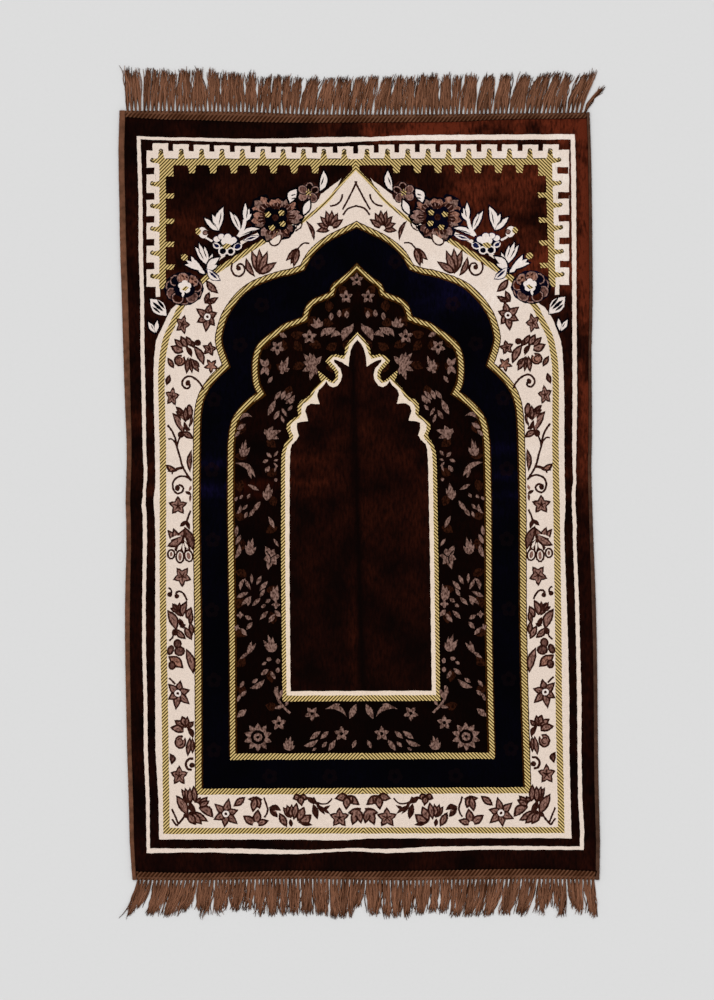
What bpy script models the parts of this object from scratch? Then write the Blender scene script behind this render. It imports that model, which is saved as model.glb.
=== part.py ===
"""A prayer rug lying flat: pile cloth, two side bindings and two fringes with ribbed headings.

Metres, +Z up. The origin is under the middle of the rug, +Y runs up the rug towards the
point of its niche and +X is to the right. Sizes below are in millimetres.
"""

from collections import namedtuple

import bmesh
import bpy
import numpy as np

MM = 0.001
GAP = 0.3  # air left between neighbouring pieces

# The cloth: a woven ground with cut pile on it, bare of pile along all four edges.
CLOTH_THICK = 4.0
GROUND_THICK = 1.5
RIM_LIFT = 0.8  # the rim lifts by this much into its binding
STEP_RUN = 0.4  # the pile ends over this width
BODY_COLUMNS = 18
BODY_ROWS = 26

# The side bindings: a thread wrap, open on its inner side, round the rim of the cloth.
WRAP_UNDER = 0.5
WRAP_OUTER = 1.2
WRAP_CROWN = 4.3

# The headings: a tape over the bare ends of the cloth, and the fringe that hangs from it.
STRANDS = 112
TAPE_FOOT = 4.2  # width of the tape's outer row, which reaches down to the floor
RIB_SLANT = 0.5
RIB_FADE = 8.0  # the slant of the ribs dies out this far from the tape's ends
TapeRow = namedtuple("TapeRow", "share ridge valley")
TAPE_ROWS = (
    TapeRow(share=0.00, ridge=2.6, valley=1.9),
    TapeRow(share=0.30, ridge=2.6, valley=2.5),
    TapeRow(share=0.66, ridge=5.0, valley=3.9),
    TapeRow(share=1.00, ridge=4.3, valley=3.5),
)
TAPE_KNOTS = 24

STRAND_ROOT = 5.2
STRAND_TIP = 3.8
STRAND_TIP_HEIGHT = 1.5
RAGGED = 2.0  # strand ends lie this far out of line, either way
Lean = namedtuple("Lean", "share lean")
LEAN_CURVE = (
    Lean(share=0.00, lean=0.00),
    Lean(share=0.33, lean=0.20),
    Lean(share=0.67, lean=0.58),
    Lean(share=1.00, lean=1.00),
    Lean(share=1.40, lean=1.51),
)

# Outline of the rug's sides, from the top of the rug down: where each edge lies, and how
# wide its binding is.
Side = namedtuple("Side", "y left left_wrap right right_wrap")
SIDES = (
    Side(y=572, left=-363.0, left_wrap=9.0, right=342.0, right_wrap=4.5),
    Side(y=515, left=-364.6, left_wrap=9.0, right=344.1, right_wrap=4.5),
    Side(y=440, left=-363.2, left_wrap=9.0, right=345.5, right_wrap=4.8),
    Side(y=365, left=-362.0, left_wrap=9.5, right=346.2, right_wrap=5.0),
    Side(y=290, left=-359.4, left_wrap=9.6, right=346.7, right_wrap=4.8),
    Side(y=215, left=-357.3, left_wrap=9.6, right=344.9, right_wrap=4.6),
    Side(y=140, left=-354.9, left_wrap=8.8, right=345.5, right_wrap=5.0),
    Side(y=80, left=-352.4, left_wrap=7.8, right=345.5, right_wrap=5.3),
    Side(y=28, left=-352.4, left_wrap=7.3, right=344.6, right_wrap=5.4),
    Side(y=-10, left=-353.7, left_wrap=7.1, right=345.9, right_wrap=5.5),
    Side(y=-55, left=-352.4, left_wrap=7.2, right=347.3, right_wrap=5.6),
    Side(y=-160, left=-354.6, left_wrap=7.6, right=351.3, right_wrap=6.4),
    Side(y=-235, left=-354.5, left_wrap=7.4, right=353.1, right_wrap=6.2),
    Side(y=-310, left=-353.1, left_wrap=7.2, right=354.0, right_wrap=5.9),
    Side(y=-385, left=-351.5, left_wrap=7.0, right=354.6, right_wrap=6.2),
    Side(y=-460, left=-349.0, left_wrap=6.9, right=356.1, right_wrap=6.5),
    Side(y=-535, left=-347.0, left_wrap=6.5, right=357.8, right_wrap=6.2),
    Side(y=-580, left=-343.5, left_wrap=6.0, right=356.6, right_wrap=6.0),
)

# Outline of its ends, from left to right: the line the fringe grows from, and how wide
# the tape is.
End = namedtuple("End", "x top top_tape bottom bottom_tape")
ENDS = (
    End(x=-347, top=574.2, top_tape=10.2, bottom=-579.0, bottom_tape=13.2),
    End(x=-317, top=573.8, top_tape=12.6, bottom=-579.5, bottom_tape=12.4),
    End(x=-242, top=573.2, top_tape=14.0, bottom=-579.8, bottom_tape=11.3),
    End(x=-167, top=572.1, top_tape=15.6, bottom=-578.7, bottom_tape=12.3),
    End(x=-92, top=568.8, top_tape=13.4, bottom=-577.7, bottom_tape=12.9),
    End(x=-17, top=568.4, top_tape=12.9, bottom=-579.0, bottom_tape=12.6),
    End(x=58, top=568.4, top_tape=12.2, bottom=-580.2, bottom_tape=14.7),
    End(x=133, top=568.8, top_tape=12.0, bottom=-579.2, bottom_tape=15.0),
    End(x=208, top=569.9, top_tape=9.6, bottom=-578.3, bottom_tape=15.6),
    End(x=283, top=570.5, top_tape=9.2, bottom=-578.0, bottom_tape=15.3),
    End(x=343, top=571.5, top_tape=9.2, bottom=-579.0, bottom_tape=13.2),
)

# Fold marks that still stand up a little: two across the rug and one along it.
Fold = namedtuple("Fold", "along place rise half")
FOLDS = (
    Fold(along="x", place=57.0, rise=1.8, half=13.0),
    Fold(along="x", place=-10.0, rise=1.5, half=11.0),
    Fold(along="y", place=2.0, rise=0.8, half=9.0),
)
FOLD_FADE = 45.0  # a fold dies out this far from the rim

# The fringes fall in clumps. Each row is one clump, from left to right: how many strands,
# where the ends of its first and last strand lie and how far they reach. The places of
# the ends are those at the fringe's usual reach.
Clump = namedtuple("Clump", "strands first last reach_first reach_last")
TOP_REACH = 63.0
TOP_CLUMPS = (
    Clump(strands=3, first=-362, last=-337, reach_first=69, reach_last=58),
    Clump(strands=4, first=-326, last=-313, reach_first=66, reach_last=64),
    Clump(strands=4, first=-305, last=-286, reach_first=66, reach_last=61),
    Clump(strands=4, first=-280, last=-263, reach_first=61, reach_last=66),
    Clump(strands=6, first=-257, last=-233, reach_first=64, reach_last=66),
    Clump(strands=8, first=-217, last=-182, reach_first=61, reach_last=61),
    Clump(strands=3, first=-170, last=-158, reach_first=62, reach_last=57),
    Clump(strands=8, first=-146, last=-107, reach_first=56, reach_last=60),
    Clump(strands=5, first=-98, last=-64, reach_first=57, reach_last=57),
    Clump(strands=8, first=-55, last=-23, reach_first=56, reach_last=59),
    Clump(strands=6, first=-13, last=19, reach_first=56, reach_last=61),
    Clump(strands=7, first=28, last=58, reach_first=57, reach_last=61),
    Clump(strands=8, first=64, last=102, reach_first=57, reach_last=63),
    Clump(strands=10, first=108, last=169, reach_first=61, reach_last=61),
    Clump(strands=10, first=176, last=236, reach_first=60, reach_last=61),
    Clump(strands=5, first=247, last=272, reach_first=57, reach_last=60),
    Clump(strands=8, first=279, last=316, reach_first=64, reach_last=60),
    Clump(strands=3, first=323, last=346, reach_first=61, reach_last=60),
    Clump(strands=1, first=361, last=361, reach_first=66, reach_last=66),
    Clump(strands=1, first=386, last=386, reach_first=40, reach_last=40),
)
BOTTOM_REACH = 54.0
BOTTOM_CLUMPS = (
    Clump(strands=2, first=-358, last=-350, reach_first=58, reach_last=55),
    Clump(strands=2, first=-344, last=-332, reach_first=46, reach_last=44),
    Clump(strands=4, first=-324, last=-307, reach_first=55, reach_last=54),
    Clump(strands=5, first=-300, last=-278, reach_first=56, reach_last=56),
    Clump(strands=5, first=-272, last=-239, reach_first=48, reach_last=47),
    Clump(strands=3, first=-227, last=-217, reach_first=58, reach_last=51),
    Clump(strands=9, first=-211, last=-164, reach_first=49, reach_last=49),
    Clump(strands=9, first=-153, last=-101, reach_first=56, reach_last=56),
    Clump(strands=8, first=-95, last=-51, reach_first=55, reach_last=56),
    Clump(strands=6, first=-45, last=-22, reach_first=61, reach_last=59),
    Clump(strands=3, first=-16, last=-2, reach_first=42, reach_last=43),
    Clump(strands=5, first=7, last=35, reach_first=52, reach_last=57),
    Clump(strands=6, first=42, last=69, reach_first=58, reach_last=57),
    Clump(strands=10, first=75, last=127, reach_first=53, reach_last=50),
    Clump(strands=10, first=133, last=181, reach_first=57, reach_last=57),
    Clump(strands=11, first=187, last=250, reach_first=56, reach_last=55),
    Clump(strands=2, first=256, last=268, reach_first=53, reach_last=55),
    Clump(strands=3, first=274, last=284, reach_first=45, reach_last=46),
    Clump(strands=2, first=299, last=307, reach_first=58, reach_last=59),
    Clump(strands=3, first=313, last=328, reach_first=47, reach_last=50),
    Clump(strands=3, first=334, last=344, reach_first=55, reach_last=54),
    Clump(strands=1, first=357, last=357, reach_first=60, reach_last=60),
)

# Colours are linear red, green and blue.
Finish = namedtuple("Finish", "colour roughness")
PILE = Finish(colour=(0.022, 0.008, 0.007), roughness=0.9)
LEFT_THREAD = Finish(colour=(0.120, 0.062, 0.040), roughness=0.85)
RIGHT_THREAD = Finish(colour=(0.060, 0.040, 0.024), roughness=0.85)
FRINGE_YARN = Finish(colour=(0.105, 0.054, 0.034), roughness=0.85)


def column(rows, name):
    """One named column of a table, as an array."""
    return np.array([getattr(row, name) for row in rows], float)


def along_curve(knots, values, place):
    """Reads a smooth curve through a table's rows: cubic pieces that share their slopes."""
    slopes = np.gradient(values, knots)
    i = np.clip(np.searchsorted(knots, place) - 1, 0, len(knots) - 2)
    run = knots[i + 1] - knots[i]
    t = np.clip((place - knots[i]) / run, 0, 1)
    near = (1 + 2 * t) * (1 - t) ** 2 * values[i] + t * (1 - t) ** 2 * run * slopes[i]
    far = t**2 * (3 - 2 * t) * values[i + 1] - t**2 * (1 - t) * run * slopes[i + 1]
    return near + far


def along_side(name, y):
    """A column of SIDES at height y."""
    return along_curve(column(SIDES, "y")[::-1], column(SIDES, name)[::-1], y)


def along_end(name, x):
    """A column of ENDS at place x."""
    return along_curve(column(ENDS, "x"), column(ENDS, name), x)


def clear_scene():
    """Removes every object."""
    for obj in list(bpy.data.objects):
        bpy.data.objects.remove(obj, do_unlink=True)


def material(name, finish):
    """A Principled material of one colour and roughness."""
    made = bpy.data.materials.new(name)
    made.use_nodes = True
    shader = made.node_tree.nodes["Principled BSDF"]
    shader.inputs["Base Color"].default_value = (*finish.colour, 1.0)
    shader.inputs["Roughness"].default_value = finish.roughness
    shader.inputs["Metallic"].default_value = 0.0
    made.diffuse_color = (*finish.colour, 1.0)
    return made


def add_object(name, bm, finish):
    """Puts a finished bmesh, in millimetres, into the scene as one object in metres."""
    bmesh.ops.scale(bm, vec=(MM, MM, MM), verts=bm.verts)
    bmesh.ops.recalc_face_normals(bm, faces=bm.faces)
    mesh = bpy.data.meshes.new(name)
    bm.to_mesh(mesh)
    bm.free()
    mesh.materials.append(material(name, finish))
    obj = bpy.data.objects.new(name, mesh)
    bpy.context.scene.collection.objects.link(obj)
    return obj


def grid_faces(bm, grid):
    """Quads over a grid of vertices, given as a list of rows."""
    for low, high in zip(grid, grid[1:]):
        for i in range(len(low) - 1):
            bm.faces.new((low[i], low[i + 1], high[i + 1], high[i]))


def stitch(bm, first, second):
    """Fills between two chains of vertices that both run towards +X with triangles."""
    i, j = 0, 0
    while i < len(first) - 1 or j < len(second) - 1:
        step_first = j == len(second) - 1
        if i < len(first) - 1 and j < len(second) - 1:
            step_first = first[i + 1].co.x < second[j + 1].co.x
        if step_first:
            bm.faces.new((first[i], first[i + 1], second[j]))
            i += 1
        else:
            bm.faces.new((first[i], second[j + 1], second[j]))
            j += 1


# The cloth ------------------------------------------------------------------------------


def fold_rise(x, y):
    """How far the folds lift the cloth: a sum of smooth ridges that fade near the rim."""
    inside = np.minimum(x - along_side("left", y), along_side("right", y) - x)
    inside = np.minimum(inside, along_end("top", x) - y)
    inside = np.minimum(inside, y - along_end("bottom", x))
    rise = np.zeros_like(x)
    for fold in FOLDS:
        away = np.abs((y if fold.along == "x" else x) - fold.place) / fold.half
        rise += fold.rise * np.cos(np.clip(away, 0, 1) * np.pi / 2) ** 2
    return rise * np.clip((inside - 12.0) / FOLD_FADE, 0, 1)


def body_shares(count, length, axis):
    """Even shares from 0 to 1, with five more close together at each fold."""
    shares = list(np.linspace(0, 1, count + 1))
    for fold in FOLDS:
        if fold.along != axis:
            middle = 0.5 + fold.place / length
            span = fold.half / length
            shares = [s for s in shares if abs(s - middle) > 1.3 * span]
            shares += [middle + span * k / 2 for k in (-2, -1, 0, 1, 2)]
    return np.array(sorted(shares))


def across(y, shares):
    """Places of the cloth's columns at height y: both rims, both steps and the body."""
    left = along_side("left", y)
    right = along_side("right", y)
    left_step = left + along_side("left_wrap", y) + GAP
    right_step = right - along_side("right_wrap", y) - GAP
    body = left_step + STEP_RUN + shares * (right_step - left_step - 2 * STEP_RUN)
    rims = WRAP_OUTER + GAP
    return np.concatenate([[left + rims, left_step], body, [right_step, right - rims]])


def up(x, shares):
    """Heights of the cloth's rows at place x: both hems, both steps and the body."""
    low = along_end("bottom", x)
    high = along_end("top", x)
    low_step = low + along_end("bottom_tape", x) + GAP
    high_step = high - along_end("top_tape", x) - GAP
    body = low_step + STEP_RUN + shares * (high_step - low_step - 2 * STEP_RUN)
    hems = TAPE_FOOT + GAP
    return np.concatenate([[low + hems, low_step], body, [high_step, high - hems]])


def cloth_plan():
    """The cloth's grid seen from above: two arrays, x and y, row by row from the bottom."""
    width = along_side("right", 0.0) - along_side("left", 0.0)
    length = along_end("top", 0.0) - along_end("bottom", 0.0)
    columns = body_shares(BODY_COLUMNS, width, "x")
    rows = body_shares(BODY_ROWS, length, "y")
    x = np.tile(across(0.0, columns), (len(rows) + 4, 1))
    for _ in range(2):
        y = np.stack([[up(place, rows)[j] for place in x[j]] for j in range(len(x))])
        x = np.stack([[across(height, columns)[i] for i, height in enumerate(line)] for line in y])
    return x, y


def cloth_heights(x, y):
    """Top and bottom heights over the cloth's grid."""
    rise = fold_rise(x, y)
    top = CLOTH_THICK + rise
    bottom = rise.copy()
    hem_rows = (0, 1, -2, -1)
    rim_columns = (0, 1, -2, -1)
    for i in rim_columns:
        top[:, i] = RIM_LIFT + GROUND_THICK
        bottom[:, i] = RIM_LIFT
    for j in hem_rows:
        top[j] = GROUND_THICK
    return top, bottom


def build_cloth(x, y):
    """The cloth as one closed sheet: a top grid, a bottom grid and walls between them."""
    bm = bmesh.new()
    grids = []
    for heights in cloth_heights(x, y):
        lines = zip(x, y, heights)
        grids.append([[bm.verts.new(point) for point in zip(*line)] for line in lines])
    for grid in grids:
        grid_faces(bm, grid)
    top, bottom = grids
    for rim in (
        lambda grid: grid[0],
        lambda grid: grid[-1],
        lambda grid: [line[0] for line in grid],
        lambda grid: [line[-1] for line in grid],
    ):
        grid_faces(bm, [rim(bottom), rim(top)])
    return add_object("rug_cloth", bm, PILE)


# The bindings ---------------------------------------------------------------------------


def wrap_section(width):
    """The binding's outline: distance in from the edge, and height. Its slot faces in."""
    slot_low = WRAP_UNDER
    slot_high = RIM_LIFT + GROUND_THICK + GAP
    return (
        (0.7, 0.0),
        (width, 0.0),
        (width, slot_low),
        (WRAP_OUTER, slot_low),
        (WRAP_OUTER, slot_high),
        (width, slot_high),
        (width, WRAP_CROWN - 0.5),
        (width * 0.62, WRAP_CROWN),
        (width * 0.22, WRAP_CROWN - 0.5),
        (0.0, slot_high - 0.2),
        (0.0, 0.9),
    )


def build_binding(name, edge, wrap, inward, heights, finish):
    """Carries the binding's outline down one edge of the rug."""
    bm = bmesh.new()
    rings = []
    for y in heights:
        place = along_side(edge, y)
        section = wrap_section(along_side(wrap, y))
        rings.append([bm.verts.new((place + inward * d, y, z)) for d, z in section])
    for low, high in zip(rings, rings[1:]):
        for i in range(len(low)):
            after = (i + 1) % len(low)
            bm.faces.new((low[i], low[after], high[after], high[i]))
    bm.faces.new(rings[0])
    bm.faces.new(rings[-1])
    return add_object(name, bm, finish)


# The headings and fringes ---------------------------------------------------------------


def strand_tips(clumps, seed):
    """Place and reach of every strand's end, with a little raggedness in the reach."""
    places = []
    reaches = []
    for clump in clumps:
        places.extend(np.linspace(clump.first, clump.last, clump.strands))
        reaches.extend(np.linspace(clump.reach_first, clump.reach_last, clump.strands))
    ragged = np.random.default_rng(seed).uniform(-RAGGED, RAGGED, len(reaches))
    return np.array(places), np.array(reaches) + ragged


def add_strand(bm, root, root_x, tip_x, reach, usual, edge_y, outward):
    """Carries a root triangle out along the floor: left foot, right foot and ridge."""
    stops = [usual * knot.share for knot in LEAN_CURVE[1:3]]
    stops = [stop for stop in stops if stop < reach - 5.0] + [reach]
    ridge = TAPE_ROWS[0].ridge
    before = root
    for stop in stops:
        share = stop / usual
        lean = np.interp(share, column(LEAN_CURVE, "share"), column(LEAN_CURVE, "lean"))
        x = root_x + (tip_x - root_x) * lean
        y = edge_y + outward * stop
        half = (STRAND_ROOT + (STRAND_TIP - STRAND_ROOT) * share) / 2
        height = ridge + (STRAND_TIP_HEIGHT - ridge) * share
        ring = [bm.verts.new(p) for p in ((x - half, y, 0), (x + half, y, 0), (x, y, height))]
        for i in range(3):
            after = (i + 1) % 3
            bm.faces.new((before[i], before[after], ring[after], ring[i]))
        before = ring
    bm.faces.new(before)


def slanted(x, start, end, depth, outward):
    """Moves places along the tape with its slanted ribs, less near the tape's ends."""
    fade = np.clip(np.minimum(x - start, end - x) / RIB_FADE, 0, 1)
    return x - outward * RIB_SLANT * depth * fade


def tape_rows(bm, name, x, start, end, outward):
    """The ribbed top of the tape: rows of vertices from the fringe side to the pile."""
    width = along_end(name + "_tape", x)
    rows = []
    for row in TAPE_ROWS:
        depth = row.share * width
        place = slanted(x, start, end, depth, outward)
        y = along_end(name, place) - outward * row.share * along_end(name + "_tape", place)
        height = np.where(np.arange(len(x)) % 2 == 1, row.ridge, row.valley)
        rows.append([bm.verts.new(point) for point in zip(place, y, height)])
    return rows


def under_chains(bm, name, start, end, outward):
    """The tape's underside, in few vertices: foot, step up, and the lip over the hem."""
    x = np.linspace(start, end, TAPE_KNOTS + 1)
    root_y = along_end(name, x)
    foot_y = root_y - outward * TAPE_FOOT
    lip_y = root_y - outward * along_end(name + "_tape", x)
    lip_z = GROUND_THICK + GAP
    lines = ((foot_y, 0.0), (foot_y, lip_z), (lip_y, lip_z))
    return [[bm.verts.new((a, b, z)) for a, b in zip(x, y)] for y, z in lines]


def build_fringe(name, clumps, usual, outward, seed):
    """One heading tape with its ribs, and its strands growing from the tape's outer wall."""
    bm = bmesh.new()
    side_y = float(np.mean(column(ENDS, name)))
    start = along_side("left", side_y) + along_side("left_wrap", side_y) + GAP
    end = along_side("right", side_y) - along_side("right_wrap", side_y) - GAP
    pitch = (end - start) / STRANDS
    # Odd places are ridges, one for each strand, and even ones the valleys between them.
    x = start + pitch * np.arange(2 * STRANDS + 1) / 2
    rows = tape_rows(bm, name, x, start, end, outward)
    grid_faces(bm, rows)

    tip_x, reaches = strand_tips(clumps, seed)
    valleys = rows[0][0::2]
    ridges = rows[0][1::2]
    floor_corner = bm.verts.new((start, along_end(name, start), 0))
    foot_chain = [floor_corner]
    before = floor_corner
    for i, ridge in enumerate(ridges):
        middle = x[2 * i + 1]
        feet = [
            bm.verts.new((place, along_end(name, place), 0))
            for place in (middle - STRAND_ROOT / 2, middle + STRAND_ROOT / 2)
        ]
        bm.faces.new((before, feet[0], valleys[i]))
        bm.faces.new((feet[0], ridge, valleys[i]))
        bm.faces.new((feet[1], valleys[i + 1], ridge))
        edge_y = along_end(name, middle)
        add_strand(bm, [*feet, ridge], middle, tip_x[i], reaches[i], usual, edge_y, outward)
        foot_chain += feet
        before = feet[1]
    last_corner = bm.verts.new((end, along_end(name, end), 0))
    foot_chain.append(last_corner)
    bm.faces.new((before, last_corner, valleys[-1]))

    foot, step, lip = under_chains(bm, name, start, end, outward)
    stitch(bm, foot_chain, foot)
    grid_faces(bm, [foot, step, lip])
    stitch(bm, lip, rows[-1])
    for i in (0, -1):
        bm.faces.new([row[i] for row in rows] + [lip[i], step[i], foot[i], foot_chain[i]])
    return add_object("fringe_" + name, bm, FRINGE_YARN)


def binding_heights(rim_y, x):
    """Heights of a binding's sections: the cloth's rows, out to both ends of the rug."""
    return np.concatenate([[along_end("bottom", x)], rim_y, [along_end("top", x)]])


def build():
    """The whole rug: five objects."""
    clear_scene()
    x, y = cloth_plan()
    build_cloth(x, y)
    left = binding_heights(y[:, 0], x[0, 0])
    right = binding_heights(y[:, -1], x[0, -1])
    build_binding("binding_left", "left", "left_wrap", 1, left, LEFT_THREAD)
    build_binding("binding_right", "right", "right_wrap", -1, right, RIGHT_THREAD)
    build_fringe("top", TOP_CLUMPS, TOP_REACH, 1, seed=3)
    build_fringe("bottom", BOTTOM_CLUMPS, BOTTOM_REACH, -1, seed=4)


build()
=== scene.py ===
# %% [markdown]
# # A prayer rug, lying flat
#
# The real rug is a plush cloth woven on a power loom. Its pile carries the whole pattern: a
# pointed niche inside a row of borders. Thread is whipped over its two long edges, and each
# end has a ribbed heading with a fringe. The solids give the sizes, and this lesson gives
# the rug its pattern, its yarns and its finishes. Lengths are in millimetres until a mesh
# is made.

from collections import namedtuple

import bpy
import numpy as np
from mathutils.geometry import delaunay_2d_cdt
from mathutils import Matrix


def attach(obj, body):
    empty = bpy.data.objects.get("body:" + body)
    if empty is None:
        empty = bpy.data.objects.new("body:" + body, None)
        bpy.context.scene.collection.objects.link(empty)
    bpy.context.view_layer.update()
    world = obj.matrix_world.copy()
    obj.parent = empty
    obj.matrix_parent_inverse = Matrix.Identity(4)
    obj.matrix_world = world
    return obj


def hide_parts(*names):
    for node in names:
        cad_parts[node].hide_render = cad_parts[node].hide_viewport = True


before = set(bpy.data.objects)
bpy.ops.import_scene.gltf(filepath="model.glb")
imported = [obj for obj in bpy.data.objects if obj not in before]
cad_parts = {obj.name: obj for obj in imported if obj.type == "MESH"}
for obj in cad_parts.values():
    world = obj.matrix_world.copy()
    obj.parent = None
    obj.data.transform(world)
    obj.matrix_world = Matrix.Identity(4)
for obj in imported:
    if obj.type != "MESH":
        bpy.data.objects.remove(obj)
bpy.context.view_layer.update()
MM = 0.001
print("solids:", sorted(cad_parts))

# %% [markdown]
# Every new piece has to lie where its solid lies. The sides of the rug could be typed in
# again, but the solids know them already. A binding solid is a chain of cross sections, so
# its lowest and highest x at each section give the rug's edge and the binding's width. The
# heading's lip and foot run at one known height, so the vertices there give the rug's ends.

# %% Edges of the rug, read from the solids
GAP = 0.3  # air between the cloth and its trims
GROUND = 1.5  # the woven ground under the pile
TAPE_FOOT = 4.2  # width of the heading's outer row
LIP_REACH = 577.0  # the headings' lips lie nearer to the rug's middle than this
Line = namedtuple("Line", "place edge width")


def node_points(node):
    """All vertices of a solid, in millimetres."""
    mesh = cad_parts[node].data
    flat = np.empty(len(mesh.vertices) * 3)
    mesh.vertices.foreach_get("co", flat)
    return flat.reshape(-1, 3) / MM


def spans(keys, values):
    """For each different key, the lowest and the highest of its values."""
    places, rank = np.unique(keys.round(1), return_inverse=True)
    low, high = np.full(len(places), np.inf), np.full(len(places), -np.inf)
    np.minimum.at(low, rank, values)
    np.maximum.at(high, rank, values)
    return places, low, high


def side_line(node, left):
    """Height up the rug, edge and binding width, section by section."""
    points = node_points(node)
    places, low, high = spans(points[:, 1], points[:, 0])
    return Line(places, low if left else high, high - low)


def end_line(node, outward):
    """Place across the rug, root of the fringe and width of the heading tape."""
    points = node_points(node)
    on_lip = (abs(points[:, 2] - GROUND - GAP) < 0.03) & (abs(points[:, 1]) < LIP_REACH)
    places, low, high = spans(points[on_lip, 0], points[on_lip, 1])
    foot, lip = (high, low) if outward > 0 else (low, high)
    return Line(places, foot + outward * TAPE_FOOT, abs(foot - lip) + TAPE_FOOT)


LEFT = side_line("binding_left", True)
RIGHT = side_line("binding_right", False)
TOP = end_line("fringe_top", 1)
BOTTOM = end_line("fringe_bottom", -1)


def edge(line, place):
    """Where an edge of the rug lies, straight between the sections of its solid."""
    return np.interp(place, line.place, line.edge)


def trim(line, place):
    """How wide the binding or heading is there."""
    return np.interp(place, line.place, line.width)


print("cloth:", round(float(edge(RIGHT, 0) - edge(LEFT, 0))), "by",
      round(float(edge(TOP, 0) - edge(BOTTOM, 0))), "mm")

# %% [markdown]
# A weaver draws a pattern as a chart and counts columns from its left edge and rows from its
# top. One square of this chart is 1.5 mm, about one tuft of pile. The pattern is a mirrored
# one, so only its left half is drawn. A woven rug is never quite true: the middle line of
# this one leans, and its right half came out a little wider and higher, so a short table says
# where the middle is, how far the right half is stretched and how far it is lifted. It was
# measured by a script.

# %% The weaver's chart
TUFT = 1.5  # one square of the chart
ORIGIN_COLUMN, ORIGIN_ROW = 361.5, 493.5  # the chart's square over the rug's origin
Lay = namedtuple("Lay", "row middle stretch lift")
LAYS = (
    Lay(155, 355.6, 1.000, 0.4),
    Lay(215, 356.4, 1.000, 1.2),
    Lay(290, 357.0, 1.005, 2.0),
    Lay(390, 357.9, 1.007, 2.0),
    Lay(480, 358.9, 1.006, 1.3),
    Lay(600, 359.8, 1.006, 1.4),
    Lay(720, 361.3, 1.007, 1.5),
    Lay(791, 362.7, 1.006, 1.8),
    Lay(830, 363.3, 1.006, 0.9),
)
LAY_ROWS, MIDDLES, STRETCHES, LIFTS = np.array(LAYS, float).T
HALF_WIDTH = 200.0  # about half of the pattern, in squares


def mirrored(points):
    """The same points on the right half: as far from the leaning middle, times the stretch,
    and lifted a little in proportion to that distance."""
    column, row = np.asarray(points, float).T
    middle, stretch, lift = (np.interp(row, LAY_ROWS, v) for v in (MIDDLES, STRETCHES, LIFTS))
    away = middle - column
    return np.stack([middle + away * stretch, row - lift * away / HALF_WIDTH], axis=1)


def from_chart(points):
    """Chart squares to millimetres on the rug."""
    column, row = np.asarray(points, float).T
    return np.stack([column - ORIGIN_COLUMN, ORIGIN_ROW - row], axis=1) * TUFT


def turned(polygon):
    """The polygon anticlockwise, as its shoelace area tells, from its longest edge on."""
    x, y = polygon.T
    if (x * np.roll(y, -1) - np.roll(x, -1) * y).sum() < 0:
        polygon = polygon[::-1]
    lengths = np.hypot(*(np.roll(polygon, -1, axis=0) - polygon).T)
    return np.roll(polygon, -np.argmax(lengths), axis=0)


def to_chart(x, y):
    """Millimetres on the rug to chart squares: column and row."""
    return x / TUFT + ORIGIN_COLUMN, ORIGIN_ROW - y / TUFT


# %% [markdown]
# The pile is one surface, and its colours meet in sharp edges where one tuft ends and the
# next begins. An image would blur them, so here the pattern is cut into the mesh itself.
# Each shape is a small polygon. They are laid on one another like paper cut-outs, and a
# constrained Delaunay triangulation cuts the sheet along all their edges at once. Every
# triangle then takes the yarn of the topmost shape over it, so the yarns come first.

# %% Yarns
Yarn = namedtuple("Yarn", "shade bloom gilt mottle", defaults=(0.0, 0.0))
# Linear colours: the yarn in shade, and where its nap catches the light. A gilt yarn is two
# colours woven in fine slanting stripes, and a mottled one wanders between its two colours.
YARNS = {
    "wine": Yarn((0.0030, 0.0014, 0.0012), (0.105, 0.0185, 0.0078)),
    "night": Yarn((0.0011, 0.0010, 0.0016), (0.0040, 0.0030, 0.0150)),
    "dusk": Yarn((0.0028, 0.0016, 0.0022), (0.0090, 0.0036, 0.0100)),
    "garden": Yarn((0.0024, 0.0012, 0.0010), (0.020, 0.0036, 0.0018)),
    "bark": Yarn((0.0064, 0.0019, 0.0011), (0.031, 0.0088, 0.0040), 0.0, 1.0),
    "glow": Yarn((0.020, 0.0075, 0.0012), (0.070, 0.022, 0.0030), 0.5),
    "cream": Yarn((0.79, 0.655, 0.56), (0.88, 0.77, 0.69)),
    "ivory": Yarn((0.82, 0.67, 0.54), (0.90, 0.78, 0.66)),
    "pale": Yarn((0.80, 0.69, 0.63), (0.90, 0.80, 0.75)),
    "gold": Yarn((0.050, 0.030, 0.004), (0.72, 0.525, 0.215), 1.0),
    "outline": Yarn((0.013, 0.0026, 0.0018), (0.045, 0.014, 0.009), 0.0, 1.0),
    "umber": Yarn((0.040, 0.026, 0.008), (0.080, 0.055, 0.020)),
    "brown": Yarn((0.105, 0.046, 0.033), (0.31, 0.165, 0.130), 0.0, 1.0),
    "tan": Yarn((0.120, 0.048, 0.032), (0.38, 0.185, 0.130), 0.0, 1.0),
    "rose": Yarn((0.060, 0.028, 0.021), (0.27, 0.160, 0.128), 0.0, 1.0),
    "petal": Yarn((0.036, 0.013, 0.010), (0.170, 0.080, 0.062), 0.0, 1.0),
    "rosy": Yarn((0.120, 0.056, 0.044), (0.36, 0.215, 0.180), 0.0, 1.0),
    "navy": Yarn((0.0040, 0.0050, 0.030), (0.012, 0.016, 0.070)),
}
YARN_NAMES = list(YARNS)
print("yarns:", ", ".join(YARN_NAMES))

# %% [markdown]
# A cut-out is a polygon and the name of its yarn. Most are laid twice, as drawn and mirrored.
# Bands and stems are ribbons: a line carried to both sides as a row of small quads, because
# one long polygon would cross itself in a tight bend and its yarn would spill.

# %% Cut-outs, ribbons and leaves
cut_outs = []  # (chart points, yarn name), the last one on top


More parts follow.
